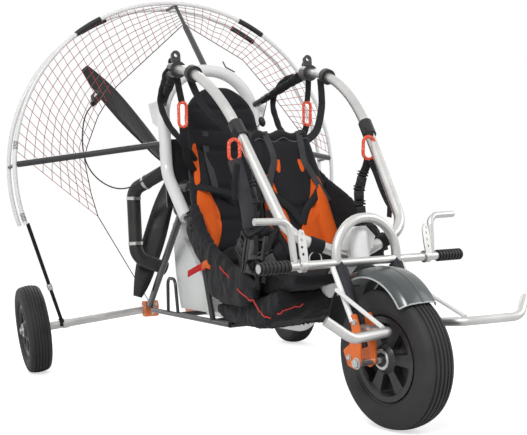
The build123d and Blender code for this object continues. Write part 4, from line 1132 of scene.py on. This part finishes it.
def soften(name, mesh, shrink, cap, crease, voxel):
    """Blown-up, creased cloth form of a closed mesh."""
    piece = outward(name, mesh, 0.0001)
    even = piece.modifiers.new("even", "REMESH")
    even.mode = "VOXEL"
    even.voxel_size = voxel
    bpy.ops.object.modifier_apply(modifier=even.name)
    calm = piece.modifiers.new("calm", "SMOOTH")
    calm.factor = 0.5
    calm.iterations = 6
    bpy.ops.object.modifier_apply(modifier=calm.name)
    for vertex in piece.data.vertices:
        vertex.co -= vertex.normal * shrink
    start = [vertex.co.copy() for vertex in piece.data.vertices]
    blow = piece.modifiers.new("blow", "CLOTH")
    blow.settings.use_pressure = True
    blow.settings.uniform_pressure_force = 4.0
    blow.settings.effector_weights.gravity = 0
    for step in range(1, 21):
        bpy.context.scene.frame_set(step)
    swollen = piece.evaluated_get(bpy.context.evaluated_depsgraph_get())
    moved = [vertex.co.copy() for vertex in swollen.data.vertices]
    piece.modifiers.remove(blow)
    for vertex, before, after in zip(piece.data.vertices, start, moved):
        shift = after - before
        vertex.co = before + shift * min(1.0, cap / max(shift.length, 1e-6))
    bpy.context.scene.frame_set(1)
    clouds = bpy.data.textures.new(name + "_creases", "CLOUDS")
    clouds.noise_scale = 0.055
    clouds.noise_depth = 3
    creased = piece.modifiers.new("creased", "DISPLACE")
    creased.texture = clouds
    creased.strength = crease
    creased.mid_level = 0.5
    bpy.ops.object.modifier_apply(modifier=creased.name)
    bpy.data.textures.remove(clouds)
    bpy.ops.object.shade_smooth()
    piece.data.materials.clear()
    piece.data.materials.append(cloth.material)
    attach(piece, "chassis")
    return piece


def slab(name, outline, inner, outer):
    """Closed slab with an (ahead, height) outline between two distances out."""
    mesh = bpy.data.meshes.new(name)
    count = len(outline)
    points = [spot(out, ahead, height) for out in (inner, outer) for ahead, height in outline]
    faces = [tuple(range(count)), tuple(range(2 * count - 1, count - 1, -1))]
    for index in range(count):
        following = (index + 1) % count
        faces.append((index, count + index, count + following, following))
    mesh.from_pydata(points, [], faces)
    return mesh


CUSHIONS = (
    # name, node that it replaces, shrinking first, most that it swells, depth of creases, voxel
    ("rear_cushion", "rear_seat_base", 0.004, 0.008, 0.008, 0.006),
    ("front_cushion", "front_seat_base", 0.004, 0.008, 0.010, 0.006),
    ("stow_bag", "seat_bag", 0.004, 0.008, 0.018, 0.006),
    ("hip_wings", "seat_wings", 0.001, 0.005, 0.010, 0.004),
)
for name, node, shrink, cap, crease, voxel in CUSHIONS:
    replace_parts(soften(name, nodes[node].data.copy(), shrink, cap, crease, voxel), node)
SKIRT = (
    (0.985, 0.705),
    (0.915, 0.668),
    (0.893, 0.612),
    (0.925, 0.556),
    (0.990, 0.505),
    (1.055, 0.455),
    (1.088, 0.400),
    (1.130, 0.352),
    (1.230, 0.325),
    (1.420, 0.322),
    (1.520, 0.350),
    (1.560, 0.400),
    (1.500, 0.470),
    (1.380, 0.470),
    (1.240, 0.520),
    (1.150, 0.560),
    (1.075, 0.620),
    (1.040, 0.670),
)
POUCH = (
    (1.440, 0.450),
    (1.425, 0.520),
    (1.470, 0.585),
    (1.570, 0.606),
    (1.650, 0.582),
    (1.700, 0.520),
    (1.680, 0.455),
)
for side, end in HANDS:
    skirt = slab(f"side_skirt_{end}", SKIRT, side * 0.186, side * 0.213)
    soften(f"side_skirt_{end}", skirt, 0.002, 0.008, 0.016, 0.006)
    pouch = slab(f"belt_pouch_{end}", POUCH, side * 0.158, side * 0.196)
    soften(f"belt_pouch_{end}", pouch, 0.002, 0.008, 0.020, 0.005)

PIPING_D = 0.0046
PIPING_LIFT = 0.0012
PIPED = (
    # name, places along it
    ("skirt", ((0.230, 1.262, 0.470), (0.230, 1.300, 0.452), (0.230, 1.345, 0.430))),
    ("bag_fall", (
        (0.228, 1.420, 0.395), (0.228, 1.470, 0.372), (0.226, 1.520, 0.345),
        (0.215, 1.560, 0.312), (0.208, 1.600, 0.292),
    )),
    ("bag_rise", (
        (0.200, 1.640, 0.300), (0.160, 1.668, 0.302), (0.125, 1.672, 0.316),
        (0.100, 1.672, 0.340),
    )),
)
PIPED_PIECES = ("stow_bag", "front_cushion", "side_skirt_right", "side_skirt_left")
for name, places in PIPED:
    for side, end in HANDS:
        line = []
        for place in smooth_line(spots(places, side), 6):
            nearest = None
            for piece in PIPED_PIECES:
                hit, location, normal, face = bpy.data.objects[piece].closest_point_on_mesh(place)
                if nearest is None or (location - place).length < (nearest[0] - place).length:
                    nearest = (location, normal)
            line.append(nearest[0] + nearest[1] * PIPING_LIFT)
        cord(f"{name}_piping_{end}", line, PIPING_D, piping)
PULL_FACE = (-1, -0.3, 0.2)
PULL = ((-0.214, 1.125, 0.462), (-0.222, 1.080, 0.462), (-0.228, 1.025, 0.450), (-0.234, 0.968, 0.436))
PULL_LOOP = ((-0.216, 1.172, 0.470), (-0.224, 1.140, 0.474), (-0.224, 1.105, 0.466))
red_tape = tape("red_webbing", (0.5, 0.012, 0.014), (0.7, 0.03, 0.03))
strap("red_pull_tab", spots(PULL), PULL_FACE, 0.026, red_tape)
strap("orange_pull_loop", spots(PULL_LOOP), PULL_FACE, 0.030, orange_tape, thick=0.006)

# Risers, shoulder straps and their links
# Black webbing hangs from the arches, each riser through a loop of orange cord with pale flecks.
# The straps hang where their closed solids stand, with their broad side to the front.

FRONT = (0, -1, 0.15)
LINK_CORD_D = 0.012
link_finish = Finish("orange_cord", "webbing")
fleck = link_finish.noise(220.0, 1.0) > 0.66
link_finish.set("Base Color", link_finish.mix(fleck, (0.78, 0.07, 0.015), (0.86, 0.72, 0.64)))


def link(name, top, foot, width):
    """Loop of stiff cord between two places, broad side to the front."""
    way = (foot - top).normalized()
    across = way.cross(Vector(FRONT)).normalized()
    radius = width / 2
    line = []
    for end, start in ((top + way * radius, math.pi), (foot - way * radius, 0)):
        for step in range(9):
            swing = start + math.pi * step / 8
            line.append(end + across * math.cos(swing) * radius + way * math.sin(swing) * radius)
    return cord(name, line, LINK_CORD_D, link_finish, 8, FRONT, looped=True)


RISERS = (
    # name, top of the link, its foot, width of the link
    ("rear_right", (-0.240, 1.035, 1.076), (-0.243, 1.035, 0.984), 0.030),
    ("rear_left", (0.283, 1.030, 1.082), (0.277, 1.030, 0.990), 0.030),
    ("front_right", (-0.272, 1.592, 0.868), (-0.275, 1.592, 0.800), 0.036),
    ("front_left", (0.212, 1.596, 0.872), (0.204, 1.596, 0.796), 0.042),
)
for name, top, foot, width in RISERS:
    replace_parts(link(f"link_{name}", spot(*top), spot(*foot), width), "riser_links")
STRAPS = (
    # name, width, thickness, finish, places
    ("rear_riser_right", 0.026, 0.003, black_tape, (
        (-0.270, 1.076, 1.168), (-0.256, 1.055, 1.120), (-0.241, 1.035, 1.072),
    )),
    ("rear_riser_left", 0.026, 0.003, black_tape, (
        (0.272, 1.076, 1.168), (0.280, 1.050, 1.120), (0.283, 1.030, 1.078),
    )),
    ("rear_lower_right", 0.030, 0.003, black_tape, (
        (-0.243, 1.035, 0.988), (-0.232, 1.010, 0.930), (-0.204, 0.960, 0.870),
        (-0.152, 0.893, 0.815),
    )),
    ("rear_lower_left", 0.026, 0.003, black_tape, (
        (0.277, 1.030, 0.994), (0.256, 1.010, 0.930), (0.214, 0.960, 0.870),
        (0.152, 0.893, 0.815),
    )),
    ("seat_riser_left", 0.028, 0.004, black_tape, (
        (0.262, 1.190, 1.140), (0.250, 1.215, 1.080), (0.232, 1.240, 1.020),
        (0.180, 1.290, 0.935), (0.112, 1.335, 0.892),
    )),
    ("seat_riser_right", 0.028, 0.004, black_tape, (
        (-0.262, 1.190, 1.140), (-0.250, 1.215, 1.080), (-0.228, 1.240, 1.020),
        (-0.168, 1.290, 0.935), (-0.106, 1.335, 0.892),
    )),
    ("front_riser_right", 0.026, 0.003, black_tape, (
        (-0.240, 1.548, 0.905), (-0.262, 1.580, 0.888), (-0.273, 1.592, 0.860),
    )),
    ("front_riser_left", 0.030, 0.003, black_tape, (
        (0.232, 1.552, 0.905), (0.222, 1.585, 0.890), (0.212, 1.596, 0.866),
    )),
    ("front_sleeve_right", 0.048, 0.010, grey_tape, (
        (-0.276, 1.594, 0.806), (-0.262, 1.592, 0.756), (-0.246, 1.588, 0.690),
        (-0.236, 1.584, 0.634), (-0.232, 1.580, 0.592),
    )),
    ("front_lower_right", 0.030, 0.003, black_tape, (
        (-0.276, 1.590, 0.802), (-0.264, 1.560, 0.730), (-0.236, 1.530, 0.660),
        (-0.205, 1.520, 0.600),
    )),
    ("front_fall_left", 0.030, 0.003, black_tape, (
        (0.204, 1.596, 0.800), (0.196, 1.590, 0.770), (0.182, 1.580, 0.735),
        (0.172, 1.570, 0.690), (0.176, 1.566, 0.640),
    )),
    ("front_branch_left", 0.024, 0.003, black_tape, (
        (0.206, 1.598, 0.798), (0.224, 1.604, 0.752), (0.236, 1.620, 0.690),
        (0.240, 1.650, 0.640), (0.212, 1.740, 0.600),
    )),
    ("front_tail_left", 0.020, 0.003, black_tape, (
        (0.210, 1.600, 0.796), (0.250, 1.604, 0.730), (0.272, 1.600, 0.660),
        (0.262, 1.610, 0.600),
    )),
    ("front_tail_right", 0.018, 0.003, black_tape, (
        (-0.270, 1.600, 0.790), (-0.286, 1.610, 0.740), (-0.290, 1.610, 0.680),
    )),
)
for name, width, thick, finish, places in STRAPS:
    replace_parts(strap(name, spots(places), FRONT, width, finish, thick=thick), "harness_straps")

# Harness buckles
# Side-release buckles of black plastic at the hips, and the lap belt with its rolled straps
# in a bundle at the right hip.


def solid_box(name, size, place, way, face, finish, bevel):
    """Rounded moulding: its size across, along its way and towards its face."""
    bpy.ops.object.select_all(action="DESELECT")
    bpy.ops.mesh.primitive_cube_add(size=1)
    piece = bpy.context.object
    piece.scale = size
    bpy.ops.object.transform_apply(location=True, rotation=True, scale=True)
    rounded = piece.modifiers.new("rounded", "BEVEL")
    rounded.width = bevel
    rounded.segments = 3
    bpy.ops.object.modifier_apply(modifier=rounded.name)
    bpy.ops.object.shade_smooth_by_angle(angle=math.radians(40))
    along_way = Vector(way).normalized()
    out_face = (Vector(face) - along_way * Vector(face).dot(along_way)).normalized()
    across = along_way.cross(out_face)
    turn = Matrix((across, along_way, out_face)).transposed().to_4x4()
    piece.matrix_world = Matrix.Translation(place) @ turn
    return settle(piece, name, finish, "chassis")


def buckle(name, place, way, face, size=1.0):
    """Side-release buckle: its shell, two prongs, and a ladder bar at each end."""
    way = Vector(way).normalized()
    face = (Vector(face) - way * Vector(face).dot(way)).normalized()
    across = way.cross(face)
    parts = (
        # size across, along and through; place along, across and up
        ((0.034, 0.030, 0.010), (0, 0, 0)),
        ((0.005, 0.024, 0.008), (0.016, -0.0145, 0)),
        ((0.005, 0.024, 0.008), (0.016, 0.0145, 0)),
        ((0.040, 0.006, 0.008), (-0.022, 0, 0)),
        ((0.040, 0.005, 0.008), (-0.032, 0, 0.001)),
        ((0.040, 0.006, 0.008), (0.030, 0, 0)),
        ((0.018, 0.012, 0.004), (0.002, 0, 0.006)),
    )
    made = []
    for index, (box_size, (run, out, lift)) in enumerate(parts):
        seat = Vector(place) + (way * run + across * out + face * lift) * size
        sized = tuple(value * size for value in box_size)
        made.append(solid_box(f"{name}_{index}", sized, seat, way, face, plastic, 0.0014 * size))
    bpy.ops.object.select_all(action="DESELECT")
    for moulding in made:
        moulding.select_set(True)
    bpy.context.view_layer.objects.active = made[0]
    bpy.ops.object.join()
    made[0].name = name
    return made[0]


BUCKLES = (
    # name, place, way, face, size
    ("hip_buckle_left_upper", (0.180, 1.582, 0.726), (-0.2, 0.2, -1), (-0.2, -1, 0), 0.95),
    ("hip_buckle_left_middle", (0.172, 1.575, 0.680), (0.0, 0.1, -1), (-0.2, -1, 0), 0.95),
    ("hip_buckle_left_lower", (0.178, 1.570, 0.628), (0.1, 0.1, -1), (-0.2, -1, 0), 0.95),
    ("hip_buckle_right_upper", (-0.212, 1.560, 0.700), (0.1, -0.2, -1), (-1, -0.8, 0.1), 1.1),
    ("rear_hip_buckle_right", (-0.216, 1.000, 0.640), (0.0, -0.5, -1), (-1, -0.5, 0.1), 1.1),
    ("rear_hip_buckle_left", (0.216, 1.000, 0.640), (0.0, -0.5, -1), (1, -0.5, 0.1), 1.1),
    ("lap_buckle_main", (-0.226, 1.600, 0.522), (0.1, -1, 0.05), (-1, -0.9, 0.3), 1.9),
    ("lap_buckle_under", (-0.226, 1.560, 0.470), (0.1, -1, -0.15), (-1, -0.8, 0.1), 1.4),
    ("lap_buckle_behind", (-0.222, 1.490, 0.540), (0.0, -0.7, 0.7), (-1, -0.5, 0.3), 1.2),
    ("lap_buckle_front", (-0.212, 1.672, 0.486), (0.2, -0.5, -1), (-1, -1, 0.1), 1.2),
    ("lap_buckle_left", (0.218, 1.600, 0.520), (-0.1, -1, 0.05), (1, -0.9, 0.3), 1.5),
)
for name, place, way, face, size in BUCKLES:
    buckle(name, spot(*place), way, face, size)
BELT_TURNS = (
    # width, places of a rolled strap of the lap belt
    (0.022, (
        (-0.180, 1.440, 0.625), (-0.212, 1.500, 0.600), (-0.232, 1.580, 0.575),
        (-0.222, 1.650, 0.590), (-0.180, 1.672, 0.622),
    )),
    (0.020, (
        (-0.190, 1.470, 0.450), (-0.226, 1.520, 0.500), (-0.236, 1.600, 0.452),
        (-0.226, 1.680, 0.455), (-0.190, 1.716, 0.430),
    )),
    (0.018, (
        (-0.190, 1.560, 0.640), (-0.220, 1.600, 0.600), (-0.236, 1.632, 0.540),
        (-0.228, 1.610, 0.450), (-0.216, 1.570, 0.400),
    )),
    (0.018, ((-0.180, 1.700, 0.600), (-0.206, 1.690, 0.560), (-0.216, 1.660, 0.500), (-0.224, 1.640, 0.420))),
    (0.022, ((-0.196, 1.400, 0.560), (-0.218, 1.450, 0.520), (-0.230, 1.520, 0.440), (-0.222, 1.580, 0.408))),
    (0.020, ((-0.165, 1.560, 0.640), (-0.190, 1.640, 0.628), (-0.190, 1.700, 0.570), (-0.168, 1.740, 0.500))),
)
for index, (width, places) in enumerate(BELT_TURNS):
    strap(f"belt_turn_{index}", spots(places), (-1, -0.6, 0.2), width, black_tape, thick=0.003)
REAR_BELT = ((0.188, 0.880, 0.775), (0.140, 0.965, 0.758), (0.080, 0.985, 0.740), (0.02, 0.985, 0.722))
for side, end in HANDS:
    strap(f"rear_belt_{end}", spots(REAR_BELT, side), (-0.5, -1, 0.3), 0.026, black_tape, thick=0.004)

# Hang blocks
# Over each arch end a block with its lug carries a webbing wrap and a small sheave, and a foam
# covered bar goes back to the main loop, lumpy where its cover is tied.

COVER_D = 0.036
COVER_WAVES = (
    # turn over the length, start, size
    (46.0, 0.0, 0.055),
    (83.0, 1.3, 0.045),
    (131.0, 2.1, 0.03),
    (17.0, 0.6, 0.06),
)


def cover(share):
    """Relative thickness of the tied foam cover along the bar."""
    lumps = sum(size * math.sin(share * turn + start) for turn, start, size in COVER_WAVES)
    return (1.06 - 0.32 * share) * (1 + lumps)


def solids_of(node):
    """Points of each separate solid of a node."""
    lump = bmesh.new()
    lump.from_mesh(nodes[node].data)
    bmesh.ops.remove_doubles(lump, verts=lump.verts[:], dist=0.0001)
    waiting = set(lump.verts)
    groups = []
    while waiting:
        group = []
        queue = [waiting.pop()]
        while queue:
            here = queue.pop()
            group.append(here.co.copy())
            for edge in here.link_edges:
                there = edge.other_vert(here)
                if there in waiting:
                    waiting.remove(there)
                    queue.append(there)
        groups.append(group)
    lump.free()
    return sorted(groups, key=lambda group: tuple(sum(group, Vector()) / len(group)))


def ends_of(group, axis):
    """Middles of the high and the low end of a long solid."""
    high = max(point[axis] for point in group)
    low = min(point[axis] for point in group)
    tops = [point for point in group if point[axis] > high - 0.006]
    feet = [point for point in group if point[axis] < low + 0.006]
    return sum(tops, Vector()) / len(tops), sum(feet, Vector()) / len(feet)


for group, (side, end) in zip(solids_of("spreader_bars"), HANDS):
    at_loop, at_block = ends_of(group, 1)
    line = [at_block + (at_loop - at_block) * (0.03 + 0.94 * step / 72) for step in range(73)]
    cord(f"bar_cover_{end}", line, COVER_D, cloth, 20, scale=cover)
SHEAVE = (
    (-0.006, 0.005),
    (-0.006, 0.017),
    (-0.004, 0.018),
    (-0.001, 0.013),
    (0.001, 0.013),
    (0.004, 0.018),
    (0.006, 0.017),
    (0.006, 0.005),
)
eyes = {mount["name"]: Vector(mount["pos_m"]) for mount in frame["record"]["mounts"]}
SHEAVE_OFF = (0.004, 0.020, -0.020)
BLOCK_DROP = 0.056
WRAP_TURNS = ((-0.020, 0.0345), (0.0, 0.0352), (0.020, 0.0345))
WRAP_TAIL = ((0.034, 0, 0.004), (0.052, -0.006, -0.020), (0.050, 0, -0.060))
WRAP_BAND = ((0.008, -0.0015), (0.008, 0.0015), (-0.008, 0.0015), (-0.008, -0.0015))
ACROSS = Vector((1, 0, 0))
BACK = Vector((0, 1, 0))
UP = Vector((0, 0, 1))
for side, end in HANDS:
    eye = eyes[f"wing_hang_{end}"]
    out, back, rise = SHEAVE_OFF
    sheave_seat = eye + Vector((side * out, back, rise))
    turned(f"sheave_{end}", SHEAVE, plastic, "chassis", sheave_seat, BACK, 28)
    bolt(f"sheave_bolt_{end}", sheave_seat + BACK * 0.0065, BACK, "chassis", 0.9)
    hub = eye - UP * BLOCK_DROP
    wrap = Shape()
    for run, radius in WRAP_TURNS:
        wrap.sweep(circle(hub + BACK * run, ACROSS, UP, radius), WRAP_BAND, UP, looped=True)
    tail = [hub + Vector((side * x, y, z)) for x, y, z in WRAP_TAIL]
    wrap.sweep(smooth_line(tail, 6), round_section(0.012, 8), BACK)
    wrap.build(f"block_wrap_{end}", black_tape)

# Padded straps from the hang blocks down to the rear seat
# Round black sleeves over webbing: they arch back round the main loop and come in at the
# shoulders of the seat.

HOSE = (
    (0.262, 1.010, 1.180),
    (0.258, 0.940, 1.196),
    (0.250, 0.850, 1.176),
    (0.246, 0.790, 1.112),
    (0.236, 0.850, 1.018),
    (0.216, 0.930, 0.945),
    (0.142, 0.886, 0.868),
)
HOSE_D = 0.024


def hose_lumps(share):
    """Relative thickness of the padded strap along its length."""
    return 1 + 0.06 * math.sin(share * 70)


for side, end in HANDS:
    line = smooth_line(spots(HOSE, side), 10)
    cord(f"padded_strap_{end}", line, HOSE_D, cloth, 14, (side, 0, 0), hose_lumps)

# Primer bulb, its line, and a hook on the main loop
# A rubber bulb hangs on a thin line under the left bar. The hook holds the slack of the net cord.

BULB_WAY = ((0.221, 0.800, 1.141), (0.190, 0.800, 1.050), (0.150, 0.800, 1.000))
BULB = ((-0.022, 0.002), (-0.020, 0.007), (-0.010, 0.013), (0.006, 0.014), (0.016, 0.009), (0.021, 0.003))
HOOK = ((0.077, 0.676, 1.312), (0.089, 0.676, 1.288), (0.129, 0.676, 1.268))
cord("bulb_line", smooth_line(spots(BULB_WAY), 8), 0.0035, black_thread, face=BACK)
turned("primer_bulb", BULB, plastic, "chassis", spot(0.187, 0.800, 1.036), (0.3, 0, -1), 24)
cord("loop_hook", spots(HOOK), 0.006, plastic, 8, BACK)

# Wraps on the lower ends of the arches
# Black tape, with a steel ring hung under the right one.

WRAP = (
    # along, radius
    (-0.022, 0.0172),
    (-0.022, 0.0205),
    (-0.018, 0.0214),
    (0.018, 0.0214),
    (0.022, 0.0205),
    (0.022, 0.0172),
)
foot_way = spot(0.026, 1.812, 0.492) - spot(0.200, 1.788, 0.560)
for side, end in HANDS:
    direction = Vector((side * foot_way.x, foot_way.y, foot_way.z)).normalized()
    turned(f"arch_wrap_{end}", WRAP, cloth, "chassis", spot(side * 0.118, 1.7993, 0.528), direction, 28)
ring = circle(spot(-0.122, 1.800, 0.488), ACROSS, UP, 0.020)
cord("arch_ring", ring, 0.004, zinc, 8, BACK, looped=True)

# Stays
# Black webbing from the open ends of the rings down to the axle tubes, with a steel cam buckle.

STAY_W = 0.016
CAM_SIZE = (0.022, 0.034, 0.012)
CAM_SHARE = 0.64
BAND_DROP = 0.018
BAND_R = 0.0205
BAND = ((0.010, -0.001), (0.010, 0.001), (-0.010, 0.001), (-0.010, -0.001))
for group, (side, end) in zip(solids_of("stay_straps"), HANDS):
    top, foot = ends_of(group, 2)
    piece = strap(f"stay_{end}", [top, (top + foot) / 2, foot], -BACK, STAY_W, black_tape, steps=6)
    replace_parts(piece, "stay_straps")
    cam_seat = top + (foot - top) * CAM_SHARE
    solid_box(f"stay_cam_{end}", CAM_SIZE, cam_seat, (foot - top).normalized(), -BACK, zinc, 0.002)
    band = Shape()
    band.sweep(circle(foot - UP * BAND_DROP, BACK, UP, BAND_R), BAND, UP, looped=True)
    band.build(f"stay_band_{end}", black_tape)

# Sleeves and levers on the fork
# The struts wear padded black sleeves, and the perforated levers stand up behind the bar
# on their clamps.

sleeve_cloth = Finish("strut_sleeve", "seat_fabric", roughness=0.6, specular=0.3)
sleeve_tone = sleeve_cloth.mottle((0.010, 0.010, 0.014), (0.03, 0.03, 0.038), 40.0, 4.0)
sleeve_cloth.bump(sleeve_tone, 0.0008)
dress(("fork_struts",), sleeve_cloth)
LEVER_TURN = math.radians(172)
bar_middle = Matrix.Translation(spot(0, 1.881, 0.473))
turned_up = bar_middle @ Matrix.Rotation(LEVER_TURN, 4, "X") @ bar_middle.inverted()
bpy.ops.object.select_all(action="DESELECT")
levers = bpy.data.objects.new("brake_levers", nodes["foot_levers"].data.copy())
bpy.context.scene.collection.objects.link(levers)
levers.matrix_world = FORK_TURN @ turned_up @ FORK_TURN.inverted()
settle(levers, "brake_levers", bright_tube, "fork")
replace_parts(levers, "foot_levers")
